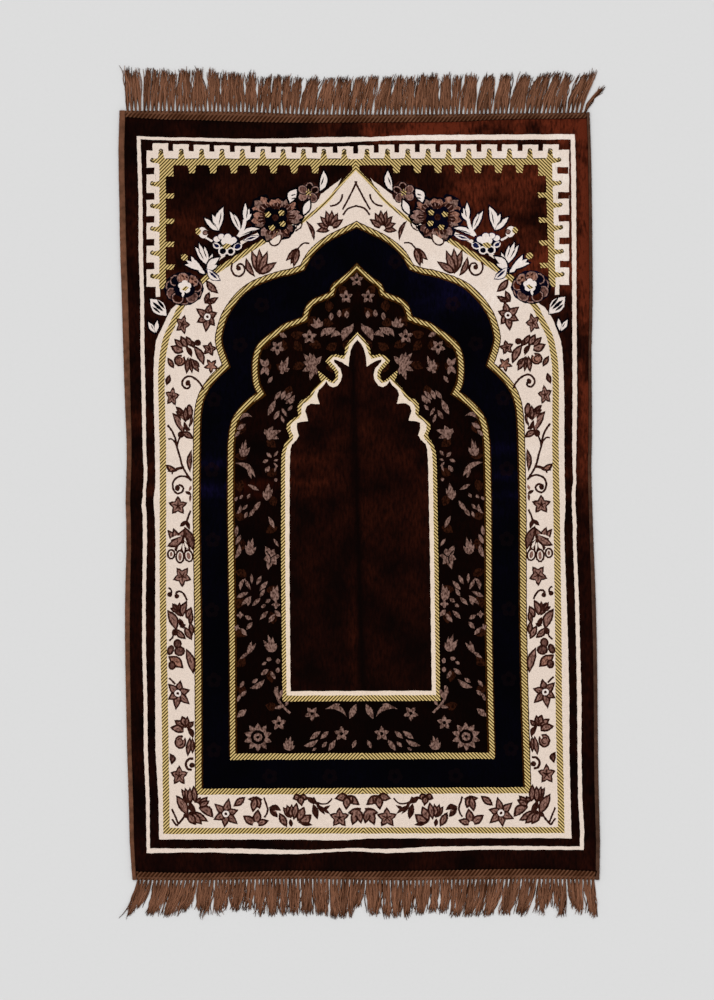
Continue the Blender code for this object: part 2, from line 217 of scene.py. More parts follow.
def lay(points, yarn, both=True):
    """Lays a polygon of one yarn on the sheet, and its mirror image with it."""
    points = np.asarray(points, float)
    cut_outs.append((points, yarn))
    if both:
        cut_outs.append((mirrored(points), yarn))


def smooth(knots, steps=4):
    """A curve through a few knots: cubic pieces whose slopes are those of the neighbours."""
    knots = np.asarray(knots, float)
    if len(knots) < 3:
        return knots
    slopes = np.gradient(knots, axis=0)
    t = np.linspace(0, 1, steps, endpoint=False)[:, None, None]
    a, b, da, db = knots[:-1], knots[1:], slopes[:-1], slopes[1:]
    curve = (1 + 2 * t) * (1 - t) ** 2 * a + t * (1 - t) ** 2 * da
    curve = curve + t**2 * (3 - 2 * t) * b - t**2 * (1 - t) * db
    return np.concatenate([curve.transpose(1, 0, 2).reshape(-1, 2), knots[-1:]])


def chain(*lobes, steps=4):
    """Smooth lobes that meet in cusps, as one line."""
    return np.concatenate([smooth(lobe, steps) for lobe in lobes])


def beside(line, distance):
    """The same line moved sideways: each point goes along the mean normal of its pieces."""
    run = np.diff(line, axis=0)
    run /= np.maximum(np.hypot(*run.T)[:, None], 1e-9)
    normal = np.stack([-run[:, 1], run[:, 0]], axis=1)
    before, after = np.vstack([normal[:1], normal]), np.vstack([normal, normal[-1:]])
    mean = before + after
    mean /= np.maximum((mean * before).sum(1, keepdims=True), 0.7)
    return line + distance * mean


def ribbon(line, low, high, yarn, both=True):
    """Lays a band of yarn along a line, from low to high beside it, as a row of quads."""
    keep = np.append(True, np.hypot(*np.diff(line, axis=0).T) > 0.05)
    low, high = (np.broadcast_to(d, len(line))[keep][:, None] for d in (low, high))
    first, second = beside(line[keep], low), beside(line[keep], high)
    for a, b, c, d in zip(first[:-1], first[1:], second[1:], second[:-1]):
        if (b - a) @ (c - d) > 0:
            lay((a, b, c, d), yarn, both)
        elif np.hypot(*(b - a)) > np.hypot(*(c - d)):  # a bend so tight that one side folds
            lay((a, b, (c + d) / 2), yarn, both)
        else:
            lay(((a + b) / 2, c, d), yarn, both)


def stroke(width, *knots, yarn="outline", both=True):
    """A stem: a narrow ribbon along a smooth curve."""
    ribbon(smooth(np.array(knots, float), 3), -width / 2, width / 2, yarn, both)


def whole(half):
    """The line of an arch from its right foot over its point to its left foot."""
    half = np.array(half, float)
    half[0, 0] = np.interp(half[0, 1], LAY_ROWS, MIDDLES)
    return np.concatenate([mirrored(half)[:0:-1], half])


LEAF_STEPS = np.linspace(0, 1, 7)


def leaf(root, tip, width, bend=0.0, belly=1.0):
    """A pointed leaf: half its width goes as the sine of the way along a bowed spine."""
    root, tip = np.array(root, float), np.array(tip, float)
    length = np.hypot(*(tip - root))
    run = (tip - root) / length
    side = np.array([-run[1], run[0]])

    def form(inset):
        ends = min(1.6 * inset, 0.35 * length)
        t = LEAF_STEPS[:, None]
        half = max(width / 2 - inset, 0.42) * np.sin(np.pi * t**belly)
        spine = root + run * (ends + (length - 2 * ends) * t)
        spine = spine + side * bend * length * 4 * t * (1 - t)
        return np.concatenate([spine + half * side, (spine - half * side)[-2:0:-1]])

    return form


print("points round a leaf:", len(leaf((0, 0), (0, 9), 3)(0)))

# %% [markdown]
# The borders lie in one another like the frames of a picture, so they are laid from the
# outside in. The wine ground is the sheet itself. The first frame is a thin cream line, and a
# plain rectangle would look printed: the woven line sways, and it is a tuft wider here and
# there. So each of its knots has its own place and width. These were measured on the
# photograph by a script. A few knots chosen by eye would be the better way to write it.

# %% The cream line round the border
# Its middle and width there, as measured: the top, down the right, back along the foot, up.
CREAM_LINE = (
    ((136.9, 138.1, 3), (165.5, 139.2, 2.9), (190, 139.5, 3), (206, 140, 3.5), (226, 140.6, 3.3),
     (250, 141, 3.8), (275, 141.2, 4.2), (300, 140.7, 4.7), (320, 140.4, 5.4), (340, 140.3, 5.7),
     (356, 139.7, 4.8), (370, 139.6, 3.9), (386, 138.8, 4.1), (400, 138.4, 4.8), (430, 138, 5.3),
     (490, 137.6, 5.1), (574.4, 137.2, 5.3)),
    ((572.4, 134.6, 4.2), (573.3, 170, 4.8), (573.9, 250, 4.4), (574.1, 300, 4.2),
     (574.6, 400, 4.6), (574, 450, 4), (574, 470, 3), (574.6, 481, 2.9), (573.4, 491, 3.7),
     (573.3, 505, 3.5), (574.5, 525, 3.9), (574.4, 540, 3.3), (576.7, 600, 3.8),
     (577.9, 650, 3.9), (579.1, 700, 4.4), (579.2, 750, 3.8), (580, 800, 4.1),
     (581.9, 830, 4.1), (581.5, 849.4, 3.8)),
    ((583.2, 847.8, 3.4), (550, 847.6, 3.4), (520, 847.5, 3.9), (490, 847.3, 3.4),
     (460, 848, 4), (430, 848.6, 4.7), (400, 850.2, 4.1), (386, 850.6, 4.2), (370, 850, 3.4),
     (356, 849.1, 3.3), (340, 849.7, 2.8), (320, 850.8, 3), (300, 851.7, 3.9), (270, 851.3, 4.7),
     (240, 850.5, 4.9), (210, 850, 3.9), (180, 850.1, 3.9), (155, 850.3, 4.9),
     (146.9, 850.4, 4.9)),
    ((148.6, 852.6, 3.4), (148.3, 830, 3.4), (148, 800, 3.7), (146, 750, 3.9), (145.7, 700, 3.6),
     (144.3, 650, 3.7), (144.2, 600, 3.4), (145.2, 540, 4.1), (144.9, 515, 3.9),
     (143.8, 505, 4.2), (144.5, 497, 3), (144.6, 490, 2.9), (145.6, 480, 3.3),
     (145.8, 470, 3.6), (144.7, 450, 3.4), (143.9, 400, 3.8), (142.7, 350, 3.9),
     (142.4, 300, 3.7), (141, 250, 4.3), (140.8, 200, 3.8), (139.9, 170, 3.9),
     (138.8, 136.6, 3.6)),
)
for run in CREAM_LINE:
    column, row, width = np.array(run, float).T
    ribbon(np.stack([column, row], 1), -width / 2, width / 2, "cream", both=False)
print("laid", len(cut_outs), "shapes")

# %% [markdown]
# The two upper corners are plain fields behind a battlement. Its merlons, pins and teeth
# stand in even pitches, so loops lay them, cream ones outside and gilt ones inside. The top
# row sags a little from merlon to merlon, and a short list of measured dips gives that.

# %% The crenellated corner borders
MERLON_PITCH, MERLON_HALF = 20.53, 7.8
MERLON_TOP, NOTCH = 145.8, 151.6
top_merlons = 160.6 + MERLON_PITCH * np.arange(20)
DIPS = (-2.1, -1.2, -0.6, 0, 0.7, 1.3, 1.5, 2.0, 1.6, 1.0,
        0, -0.7, -1.1, -1.1, -0.9, -1, -1, -1, -0.8, -1)


def block(left, top, right, bottom, yarn, both=True):
    """Lays an upright rectangle, and its mirror image."""
    lay(((left, top), (right, top), (right, bottom), (left, bottom)), yarn, both)


for dip, middle in zip(DIPS, top_merlons):
    block(middle - MERLON_HALF, MERLON_TOP + dip, middle + MERLON_HALF, 155, "cream", both=False)
lay(((153, NOTCH - 0.2), (181, NOTCH), (232, 152.5), (345, 153.5), (353, 153.8), (358, 153.8),
     (365, 153), (467, 152.3), (559, 150.8), (559, 160), (153, 160)), "cream", both=False)
block(146.8, 150.9, 156, 287, "cream")
block(562, 150, 568.8, 285, "cream", both=False)
block(156, 150, 160.2, 297, "cream")
for top in (168, 193.3, 216.3, 239.3, 262.8):
    block(143.5, top, 154.6, top + 6.8, "wine")
block(159.6, 159.4, 166, 289, "gold")
block(159.6, 159.4, 357.6, 165.6, "gold")
block(166, 165.4, 173.6, 176.7, "gold")
block(166, 158.9, 350, 159.8, "umber")
for left in (189, 210, 230.8, 250.2, 270.4, 291, 312):
    lay(((left - 1.6, 165.2), (left + 7.8, 165.2), (left + 6.9, 168), (left + 6.4, 172.4),
         (left + 5.4, 173.6), (left + 0.4, 173.7), (left - 0.3, 169)), "gold")
for top in (194, 219.3, 242.3, 265):
    lay(((166, top), (174.8, top - 0.4), (173.6, top + 4.8), (166, top + 4.8)), "gold")
# Each merlon holds a small gilt pin, with a dark hook bent over its head.
for middle in 161.2 + 20.33 * np.arange(10):
    lay(((middle - 3.6, 160), (middle - 2.8, 157), (middle - 2.4, 153), (middle - 1.5, 150.7),
         (middle + 1.8, 150.5), (middle + 2.4, 153), (middle + 2.8, 156.6),
         (middle + 4.2, 160)), "gold")
    stroke(1.2, (middle - 2.1, 151.4), (middle - 0.9, 149.9), (middle + 0.9, 149.8),
           (middle + 1.7, 151.3), (middle + 0.7, 153), (middle - 1.1, 154.8), yarn="umber")
for middle in (161, 184.3, 206.5, 229.3, 253.5, 276.7):
    lay(((160, middle + 3.4), (156, middle + 2.4), (152.6, middle + 2.2), (151, middle + 0.9),
         (151.2, middle - 1), (153, middle - 1.9), (156, middle - 2), (160, middle - 3)), "gold")
    stroke(1.2, (153.4, middle - 2.3), (151.6, middle - 1.9), (150.8, middle - 0.2),
           (152, middle + 1), (154.2, middle + 0.4), yarn="umber")
print("laid", len(cut_outs), "shapes")

# %% [markdown]
# Three arches lie in one another. Each is a chain of smooth lobes that meet in cusps, and a
# lobe needs only a few knots. Only the left half is set down, and the right one mirrors it. A
# gilt band drawn by itself would wander off its arch, so it is carried along the arch's line.
# The strip of cream outside the first arch has knots that were measured by a script.

# %% The three arches and their bands
OUTER_ARCH = chain(
    ((356.2, 168.6), (346.1, 179.2), (336.5, 189.8), (328.5, 200.2), (316.3, 210.8),
     (306.7, 218.4), (298, 224.6)),
    ((298, 224.6), (276, 234.6), (261, 243.4), (254.3, 247.4), (238, 257.8), (222.4, 267.6),
     (204.5, 279.6), (190, 295), (180, 309.3), (175.6, 318.7), (171.2, 328), (167, 337),
     (164.6, 346.7), (163, 356), (161.8, 368), (161.6, 384), (162, 402), (162.6, 430),
     (163.2, 460), (163.2, 600), (165.2, 720), (166.7, 830)),
)
SECOND_ARCH = chain(
    ((357, 224.4), (350, 227.6), (340, 232.4), (330, 237.4), (320, 244.2), (310, 254), (302, 268)),
    ((302, 268), (290, 272), (280, 274), (262, 280), (250, 286), (240, 294), (231, 305),
     (224, 317), (220, 330), (218.5, 340), (220.5, 350), (226, 366)),
    ((226, 366), (216, 375), (207, 386), (201, 398), (198, 412), (197, 430), (196.8, 450),
     (196.6, 520), (198.2, 640), (198.8, 791.5)),
)
THIRD_ARCH = chain(
    ((357, 267), (350, 273.6), (341, 281), (334.4, 286), (331.6, 294)),
    ((331.6, 294), (322.7, 298), (314, 301.6), (308, 308), (304.8, 319)),
    ((304.8, 319), (296, 322.4), (286, 326), (278, 331.6), (268, 338.8), (260, 346.4), (256, 357),
     (255, 370), (256.5, 384), (261, 394)),
    ((261, 394), (251, 401), (242, 410), (234.5, 422), (231.4, 440), (230.8, 455),
     (230.7, 520), (232.3, 640), (232.8, 756.5)),
)
OUTER_STRIP = (
    (176.4, 305), (171, 309.8), (166.6, 318.7), (162.4, 328), (159, 334.6), (156.4, 340.6),
    (155.4, 348), (154.4, 358), (153.8, 372), (154, 400), (155, 440), (155.7, 480), (155.2, 490),
    (153.9, 497), (154, 506), (155, 516), (155.7, 540), (155.5, 600), (155.2, 650), (155.7, 750),
    (158.7, 800), (159.4, 839), (300, 839.2), (330, 840), (345, 839.8), (370, 838), (540, 837.7),
    (571.3, 838), (571, 830), (570.3, 800), (569.1, 750), (569.1, 700), (568, 650), (566.4, 600),
    (564.3, 545), (563.9, 527), (565, 512), (565.2, 497), (564.4, 480), (564.1, 450),
    (564.1, 400), (563.2, 370), (562.1, 350), (560.4, 340), (556.6, 330), (552.4, 319),
    (545, 308), (538, 303),
)
SHOULDER = ((341.6, 178.2), (338, 182), (333.3, 185), (325.3, 191.4), (312, 201.4), (306, 203),
            (302.6, 207), (303.6, 213.6), (299, 222), (306, 222), (330, 202))


def gilt_band(line, rows, halves, glow=0.0):
    """A gilt band over a whole arch. Its half width goes with the row; a glow lies inside it."""
    half = np.interp(line[:, 1], rows, halves)
    ribbon(line, -half, half, "gold", both=False)
    if glow:
        ribbon(line, -half - glow, -half, "glow", both=False)
        ribbon(line, half, half + 0.6 * glow, "glow", both=False)


def foot_bar(line, top, bottom, half):
    """The gilt bar that closes an arch between its feet."""
    (right, right_row), (left, left_row) = line[0], line[-1]
    rise = left_row - right_row
    lay(((left - half, top), (right + half, top - rise), (right + half, bottom - rise),
         (left - half, bottom)), "gold", both=False)


outer, second, third = whole(OUTER_ARCH), whole(SECOND_ARCH), whole(THIRD_ARCH)
lay(OUTER_STRIP, "cream", both=False)
lay(outer, "cream", both=False)
lay(SHOULDER, "cream")
lay(((352, 163), (352.4, 171), (356.2, 168), (356.2, 163)), "gold")
gilt_band(outer, (168, 205, 235, 260, 300, 340), (1.3, 1.5, 2.3, 2.7, 2.9, 3.2))
foot_bar(outer, 827.6, 833.6, 3.2)
ribbon(smooth(((214, 262.4), (232, 249.6), (246, 240.4), (262, 233))), -1.7, 1.7, "cream")
lay(second, "night", both=False)
gilt_band(second, (224, 262, 300, 420), (2.0, 2.1, 2.5, 2.8), 1.6)
foot_bar(second, 788.4, 794.4, 2.8)
lay(third, "garden", both=False)
# The garden's ground is strewn with dim leaves, two columns of them down the side and rows of
# them over the head, each turned a little further than the last.
GROUND_LEAVES = (*[(241 + 31 * (k % 2), 428 + 14.6 * k) for k in range(20)],
                 *[(266 + 16.4 * (k % 6), 346 + 21 * (k // 6)) for k in range(12)],
                 (297, 334), (312, 322), (328, 306), (344, 290), (327, 324), (345, 312), (290, 392))
for k, (column, row) in enumerate(GROUND_LEAVES):
    a = 2.4 * k
    tip = np.array([6.4 * np.sin(a), -6.4 * np.cos(a)])
    lay(leaf((column, row) - tip, (column, row) + tip, 8.6, 0.1, 0.9)(0), "bark")
gilt_band(third, (267, 300, 340, 420), (1.7, 1.8, 2.2, 2.5), 1.9)
foot_bar(third, 753.4, 759.6, 2.5)
print("arch knots:", len(OUTER_ARCH), len(SECOND_ARCH), len(THIRD_ARCH))

# %% [markdown]
# The niche is the plain field that a worshipper faces. Its head is a run of spikes and a
# curl, with a gilt edge outside and a pale one inside, so three lines are needed: where the
# gilt begins, where it turns pale, and where the field begins.

# %% The niche
NICHE_GILT = (
    (357.1, 332.6), (350, 340.5), (345.6, 346.5), (344.2, 355.4), (340, 355.6), (336, 354.4),
    (332, 355.4), (328.4, 358), (325.6, 361.6), (330.4, 367), (334.6, 371.4), (335.8, 375.5),
    (334.4, 380), (331.6, 381.4), (327.4, 378.2), (323.2, 374.6), (317.9, 370.5),
    (319, 376.6), (321.4, 381.4), (314.3, 388.4), (309.8, 395.5), (306.6, 398.4),
    (301.8, 400), (298, 404.5), (297.6, 410), (298.7, 415.2), (294.6, 417.9), (287.4, 423.4),
    (286.4, 429), (289.3, 434.8), (289.4, 437.6), (285, 443.4), (282, 452), (281.3, 464),
    (281.2, 560), (282.6, 701.2),
)
NICHE_PALE = (
    (357.5, 335.2), (349.6, 344.6), (347, 352.6), (344, 359.4), (338, 357.6), (333.4, 357.2),
    (329.8, 361.2), (335, 366.6), (338.4, 372), (338.2, 379), (334, 383.6), (329.8, 382.4),
    (325.6, 379.6), (321.6, 383.8), (315.6, 390), (312, 397), (308, 401), (303.2, 404),
    (301.2, 408.4), (301.6, 414), (298.8, 418.4), (293, 422), (290.6, 426), (291, 431),
    (293.6, 436), (292.4, 440), (287.6, 446), (285.6, 453), (285.2, 466), (285.3, 560),
    (286.6, 695.4),
)
NICHE_FIELD = (
    (358, 339.8), (353.6, 344.4), (350.9, 350), (349.2, 358.6), (348.7, 366.8), (342.9, 363),
    (337.5, 360.4), (333.8, 359.8), (334.4, 362.4), (340.2, 368.6), (342.2, 375),
    (340.8, 381.2), (337.6, 385.8), (333, 387.6), (329.4, 385.8), (326.3, 381.2),
    (323.7, 385.6), (318.8, 390.2), (317, 395.6), (319.7, 404.2), (310.7, 403.8),
    (306.3, 407), (305.4, 411.6), (308.2, 421.2), (300.8, 421.8), (296.9, 423.4),
    (296.9, 428.8), (299, 435.8), (296.4, 440.2), (292, 444.6), (290.4, 450), (289.8, 466),
    (289.4, 560), (290.6, 691),
)
for outline, yarn in ((NICHE_GILT, "gold"), (NICHE_PALE, "ivory"), (NICHE_FIELD, "wine")):
    lay(whole(outline), yarn, both=False)
print("laid", len(cut_outs), "shapes")

# %% [markdown]
# The flowers and leaves of the borders are the stock of any carpet pattern: pointed leaves,
# buds, stars, fans of petals and scrolls. Each is a formula with a few sizes, so a flower is
# a short line of text. A form is laid once for each of its yarns, every time a little
# smaller, and this gives the dark outline that a weaver draws round a petal.

# %% Forms for flowers
DISC_POINTS = 10
VEIN = 99.0  # an inset that leaves only a short line down the middle of a leaf


def fan(root, width, *tips, bend=0.0, belly=0.8):
    """Leaves that spread from one root."""
    return [leaf(root, tip, width, bend, belly) for tip in tips]


def disc(column, row, across, up=None, turn=0.0):
    """An ellipse, turned by some degrees."""
    up = across if up is None else up
    angle, turn = 2 * np.pi * np.arange(DISC_POINTS) / DISC_POINTS, np.radians(turn)

    def form(inset):
        if inset == VEIN:  # nothing round has a vein
            return None
        x = max(across - inset, 0.6) * np.cos(angle)
        y = max(up - inset, 0.6) * np.sin(angle)
        return np.stack([column + x * np.cos(turn) - y * np.sin(turn),
                         row + x * np.sin(turn) + y * np.cos(turn)], axis=1)

    return form


def star(column, row, radius, turn=0.0, rays=5, waist=0.48, across=1.0):
    """A star: its radius swings between the points and the waist. Turn 0 points up."""
    k = np.arange(4 * rays)
    angle = np.pi * k / (2 * rays) + np.radians(turn)
    swing = np.array([1.0, 0.74, waist, 0.74])[k % 4]

    def form(inset):
        if inset == VEIN:
            return None
        size = max(radius - 1.5 * inset, 1.2) * swing
        return np.stack([column + across * size * np.sin(angle), row - size * np.cos(angle)], 1)

    return form


def petals(column, row, radius, size, count=5, turn=0.0):
    """Round petals in a ring."""
    angle = 2 * np.pi * np.arange(count) / count + np.radians(turn)
    return [disc(column + radius * np.sin(a), row - radius * np.cos(a), size, size * 0.85,
                 np.degrees(a)) for a in angle]


def paint(layers, *forms, both=True):
    """Lays forms in turn, each with every one of its layers: how far set in, and the yarn.
    The name of a yarn alone stands for one layer of the form's own size."""
    if isinstance(layers, str):
        layers = ((0, layers),)
    for form in forms:
        for inset, yarn in layers:
            shape = form(inset)
            if shape is not None:
                lay(shape, yarn, both)


# Finishes for a form: how far each layer is set in, and its yarn.
BROWN = ((-0.6, "outline"), (1.35, "brown"), (VEIN, "outline"))
TAN = ((-0.6, "outline"), (1.35, "tan"), (VEIN, "outline"))
SOOT = ((-0.6, "outline"), (1.35, "petal"))
DARK = ((-0.2, "outline"),)
GRAPE = ((-0.6, "outline"), (1.4, "cream"), (2.5, "brown"))


def blossom(column, row, radius, turn=0.0, across=1.0):
    """A star flower with a dark vein down each ray and a dark heart."""
    paint(BROWN, star(column, row, radius, turn, 5, 0.56, across))
    for angle in np.radians(turn + 72 * np.arange(5)):
        tip = (column + 0.6 * across * radius * np.sin(angle), row - 0.6 * radius * np.cos(angle))
        paint("outline", leaf((column, row), tip, 1.2))
    paint(DARK, disc(column, row, 1.5))


def lily(column, row, *tips):
    """A long flower of six pointed petals round a pale ring with a dark dot."""
    paint(BROWN, *fan((column, row), 7.6, *tips, belly=0.7))
    paint(((0, "outline"), (0.9, "pale")), disc(column, row, 4.3))
    paint(DARK, disc(column, row, 1.3))


print("points round a disc:", DISC_POINTS)

# %% [markdown]
# The widest border is cream, with brown flowers on thin stems. Where the arch comes to its
# point, the border holds a wedge of plain strokes, a fan of leaves and a bud on each side.
# Every flower is set down by its root, its tips and its widths, from the point outwards.

# %% Cream border: the point of the arch
stroke(1.9, (357, 181.5), (349.5, 197), (342.5, 210))
stroke(1.9, (343, 215.5), (348, 209), (357, 206))
stroke(1.9, (342.4, 194.4), (341.6, 199), (338.6, 203.4), (334.6, 205.6), (330, 206.4))
paint(BROWN, *fan((331, 228), 6.4, (316.6, 231.5), (317.4, 224), (320.5, 217), (326, 211.4),
                  (332, 211), (337.6, 213.6), (342.6, 220)))
paint("cream", disc(330.5, 228.5, 2.6, 2.2))
paint(BROWN, leaf((306, 221.6), (313.6, 240.6), 3.6, -0.12))
stroke(1.6, (298, 249), (303, 243.8), (309.5, 243.6))
paint(BROWN, *fan((298.4, 249), 6, (286.4, 260.6), (291, 264), (293.6, 267)))
paint(BROWN, leaf((255, 276.6), (246.6, 258.6), 5.6, -0.1),
      *fan((259.6, 274), 7.4, (251.6, 251), (259.6, 249.6), (267.6, 251.6), (276.4, 262.6)))
stroke(2.0, (232.6, 263), (231.4, 269), (234.6, 275.2), (240.6, 276.2), (244.8, 271),
       (243.2, 265.4), (239, 264.4), (236.8, 267.6))
paint(DARK, disc(238.6, 268.6, 2.3))
paint(BROWN, leaf((217.8, 293), (206.6, 281), 6.8, -0.06), leaf((205, 303), (209.4, 292.8), 4.8),
      leaf((205, 303), (218, 297.8), 5, 0.06), leaf((206.6, 302.6), (215, 302.4), 3.6))
print("laid", len(cut_outs), "shapes")

# %% [markdown]
# Down the side the border is a column of flowers, scrolls and berries. What lies over
# something else is laid after it, so a flower's dark heart follows its petals. A scroll is one
# stroke along a smooth curve that winds in on itself, with a dark dot at its end.

# %% Cream border: the upper side
lily(207.5, 317, (210.6, 303.6), (217, 313), (214.6, 325.6), (206, 332), (197.4, 322.4),
     (196.8, 309))
blossom(182.8, 324.8, 9.6, 18, 0.74)
paint(BROWN, leaf((185.4, 350.4), (171.4, 346.4), 8.2, -0.1), leaf((184, 349), (175, 339.4), 5.6),
      leaf((187.4, 348), (181, 336.6), 6.4), leaf((192, 346.6), (186.4, 337), 5.6),
      leaf((193.6, 347.4), (192.6, 341.6), 4), leaf((194.4, 346.4), (203.8, 364.6), 7.4, -0.06))
paint("cream", leaf((182.6, 347), (190.6, 358), 7.4, -0.1))
paint(DARK, leaf((185.4, 346.6), (191.6, 357.2), 5, -0.12), disc(197.8, 343, 3.3, 3.2))
paint(TAN, disc(180, 360.6, 5.6, 5.6))
paint("cream", leaf((184.8, 353.6), (181.6, 358.4), 1.8))
stroke(1.3, (177, 358.6), (179.4, 357.6), (182, 359.4), (181.8, 362.6), (179, 363.6))
paint(BROWN, leaf((188.2, 358), (186.8, 373.4), 5), leaf((190, 358.6), (192.2, 373), 3.6),
      leaf((191, 358.6), (198.8, 372), 5.8), leaf((193, 360), (199.6, 366.6), 3.6))
blossom(209.6, 349.2, 7, 10)
paint(TAN, leaf((168.2, 358.4), (173.8, 368), 4.8))
paint(SOOT, leaf((169.8, 375.4), (166.9, 385), 4.6))
paint(TAN, star(211.4, 366, 7, 40))
blossom(172.4, 396.8, 9.4, 8, 0.74)
stroke(2.1, (203.6, 390), (201.6, 385.4), (197, 380), (191, 376.6), (186.6, 377), (183, 380.6),
       (182.6, 385), (186, 388.6), (189.6, 387.4), (190, 384))
paint(DARK, disc(188, 383, 2.2, 2.8, 20))
paint(BROWN, leaf((183.6, 433.6), (172.8, 413.6), 8.4, 0.1),
      leaf((186, 421.6), (181, 408.6), 7.6, -0.1), leaf((185.8, 421.6), (185.8, 407.6), 5),
      disc(190, 411, 2.9, 6.2, -8))
paint(SOOT, leaf((182.6, 413.6), (176.4, 407), 3.6), leaf((182, 415.6), (176.4, 411.6), 3))
paint(DARK, leaf((186.8, 421.4), (190.8, 414.4), 2))
paint(BROWN, leaf((189.6, 427), (192, 415.6), 3.6))
paint("cream", leaf((181.4, 418), (189.6, 430), 4.8, 0.1),
      leaf((186.6, 427), (190, 418.6), 2.6))
paint(DARK, leaf((184.2, 421.8), (187.4, 431.6), 3.8), leaf((184.6, 428), (190.6, 430.2), 4))
paint(BROWN, leaf((182, 432.4), (193, 438.6), 6, -0.06))
paint(DARK, disc(181, 434.8, 3.1, 3.3))
print("laid", len(cut_outs), "shapes")

# %% [markdown]
# The middle of the side has the longest stem, which swings across the border and ends in the
# largest scroll. Below it hang a star flower and three berries, each a disc in three yarns.

# %% Cream border: the middle of the side
stroke(2.1, (167.8, 425.2), (172.4, 431.4), (175.6, 439), (177, 446.6), (180, 456.4),
       (182.8, 466.6), (187.6, 475), (191.8, 480.8))
stroke(1.7, (168.4, 439.4), (171.6, 439), (174.6, 441.6), (177, 446))
stroke(1.9, (181, 436), (178.6, 440.6), (177.2, 446.4))
paint(BROWN, leaf((191.8, 450.4), (190.6, 472), 4.8, 0.08))
paint(TAN, leaf((177, 470.6), (166.8, 465.2), 5.6, -0.12))
stroke(3.0, (174.6, 470.2), (179, 468.4), (184.4, 467.4))
stroke(1.7, (173.2, 470), (172.2, 474.4))
stroke(1.4, (169.6, 469), (168.4, 472))
stroke(2.1, (191.8, 480.8), (188, 477.6), (183.6, 476.2), (178, 477.2), (174, 480.8),
       (172.9, 486), (174.6, 491.2), (178, 493.6), (182.2, 491.9), (183.6, 488.6),
       (181.8, 485.8), (178.6, 484.9))
paint(DARK, disc(177.6, 488, 2.4, 3.1), leaf((185.6, 491.6), (191.6, 494.6), 3.2))
paint("petal", leaf((190.8, 493.6), (190.2, 502.4), 2.6))
paint("brown", leaf((191.4, 485.6), (189.4, 491.4), 2.8))
blossom(178.2, 505.8, 9.2, 0)
stroke(2.0, (191, 510.6), (188.6, 516), (186.8, 522))
paint(DARK, leaf((187.6, 520.4), (180.2, 526.6), 4.2), leaf((186.4, 519.6), (189.8, 529.8), 3.8))
paint(BROWN, *fan((178.6, 543), 7.2, (168, 530.4), (173.6, 528.6), (184, 529.4)),
      leaf((167.6, 546), (184.4, 535), 8.4, 0.1))
paint("cream", leaf((168.4, 541), (182.4, 536), 2.0, -0.1))
paint(SOOT, leaf((184.8, 527.4), (193.4, 550.4), 8, -0.05))
paint(DARK, disc(180.6, 549, 6, 3.6), leaf((176, 549.6), (184.6, 540), 4),
      leaf((183, 540), (191, 551), 4))
paint("cream", leaf((177.4, 551.8), (182.2, 543.4), 3.2), leaf((184.2, 552.6), (183.2, 543), 2),
      leaf((188.4, 549.2), (184.4, 541.4), 2.4))
paint(GRAPE, disc(171.4, 554.2, 3.9, 4.9), disc(180.2, 556.6, 4.3, 6.6),
      disc(188.8, 555.8, 4.5, 6.2, -15))
blossom(182.4, 576.4, 10.2, 180, 0.88)
print("laid", len(cut_outs), "shapes")

# %% [markdown]
# The lower side repeats the same kinds of flower in another order. They could be copied from
# above, but each woven one differs by some tufts, so each keeps its own numbers.

# %% Cream border: the lower side
stroke(1.8, (168.4, 587.8), (170.6, 588.8), (171.8, 592), (170.8, 594.4))
paint(DARK, disc(169.9, 594.4, 2.4))
stroke(2.1, (187.2, 600.4), (184.8, 595), (181.6, 591.8), (178, 591.4), (175.8, 594))
paint(DARK, disc(177, 596, 2.3))
paint(SOOT, leaf((180.4, 616), (175, 604), 6.6), leaf((178, 612), (171, 608), 3.4),
      leaf((177.6, 611), (172.6, 603.6), 3.4), leaf((179.6, 612), (179.8, 602.8), 3.2))
paint(BROWN, leaf((182.4, 617), (187, 601.4), 6.6, -0.1), leaf((186.8, 618.6), (191.4, 607.4), 6.4),
      leaf((190, 625), (192, 612), 4.6), leaf((190.6, 622), (192.4, 635), 4.8))
paint(BROWN, leaf((176.6, 630), (167.8, 610.4), 8.8, 0.08))
paint("cream", leaf((181, 616), (188.6, 625), 6))
paint(DARK, leaf((179.6, 618.4), (183.6, 628.4), 5), leaf((180, 626.8), (186, 624.6), 4))
paint(BROWN, leaf((176, 629), (185.6, 638.4), 6.2, 0.06), leaf((185, 627), (191.8, 639.6), 6.2))
paint(DARK, disc(174.9, 632.2, 3, 3.3))
stroke(1.9, (169.4, 640.6), (172.6, 637.6), (174, 633.6))
paint(SOOT, disc(170.7, 650, 3, 4.8, 20), disc(177.8, 643.8, 3.8, 4.6), disc(179.9, 651, 5.2, 4.6))
paint(TAN, leaf((169, 656.4), (183, 667.6), 9.6, -0.04))
paint(SOOT, disc(172.2, 665.2, 3.4, 4.2))
paint(BROWN, leaf((186.2, 649), (193.4, 673.4), 7.8, -0.06))
stroke(2.0, (169.2, 677.8), (172.4, 680.6), (175.4, 684))
lily(178, 693.2, (180.8, 680.6), (189.8, 689.8), (189.4, 703.8), (176.2, 709), (168.8, 699),
     (168.8, 684))
paint(BROWN, leaf((185.4, 727), (175, 720.4), 6.2), leaf((186, 726.6), (182.4, 716.4), 7),
      leaf((186.6, 726.6), (187.6, 716.6), 4.4), leaf((188, 727), (193.6, 721.6), 5),
      leaf((185, 731.4), (171, 727.6), 7.6, 0.08))
paint("cream", leaf((184, 727.6), (190.6, 737), 6))
paint(DARK, leaf((187, 726.8), (193.2, 738), 5.4, -0.12))
paint(BROWN, disc(180.6, 741.8, 5.6, 6.6), leaf((190.2, 737.4), (187.8, 755.6), 5.2),
      leaf((192.6, 738), (192.8, 753), 4))
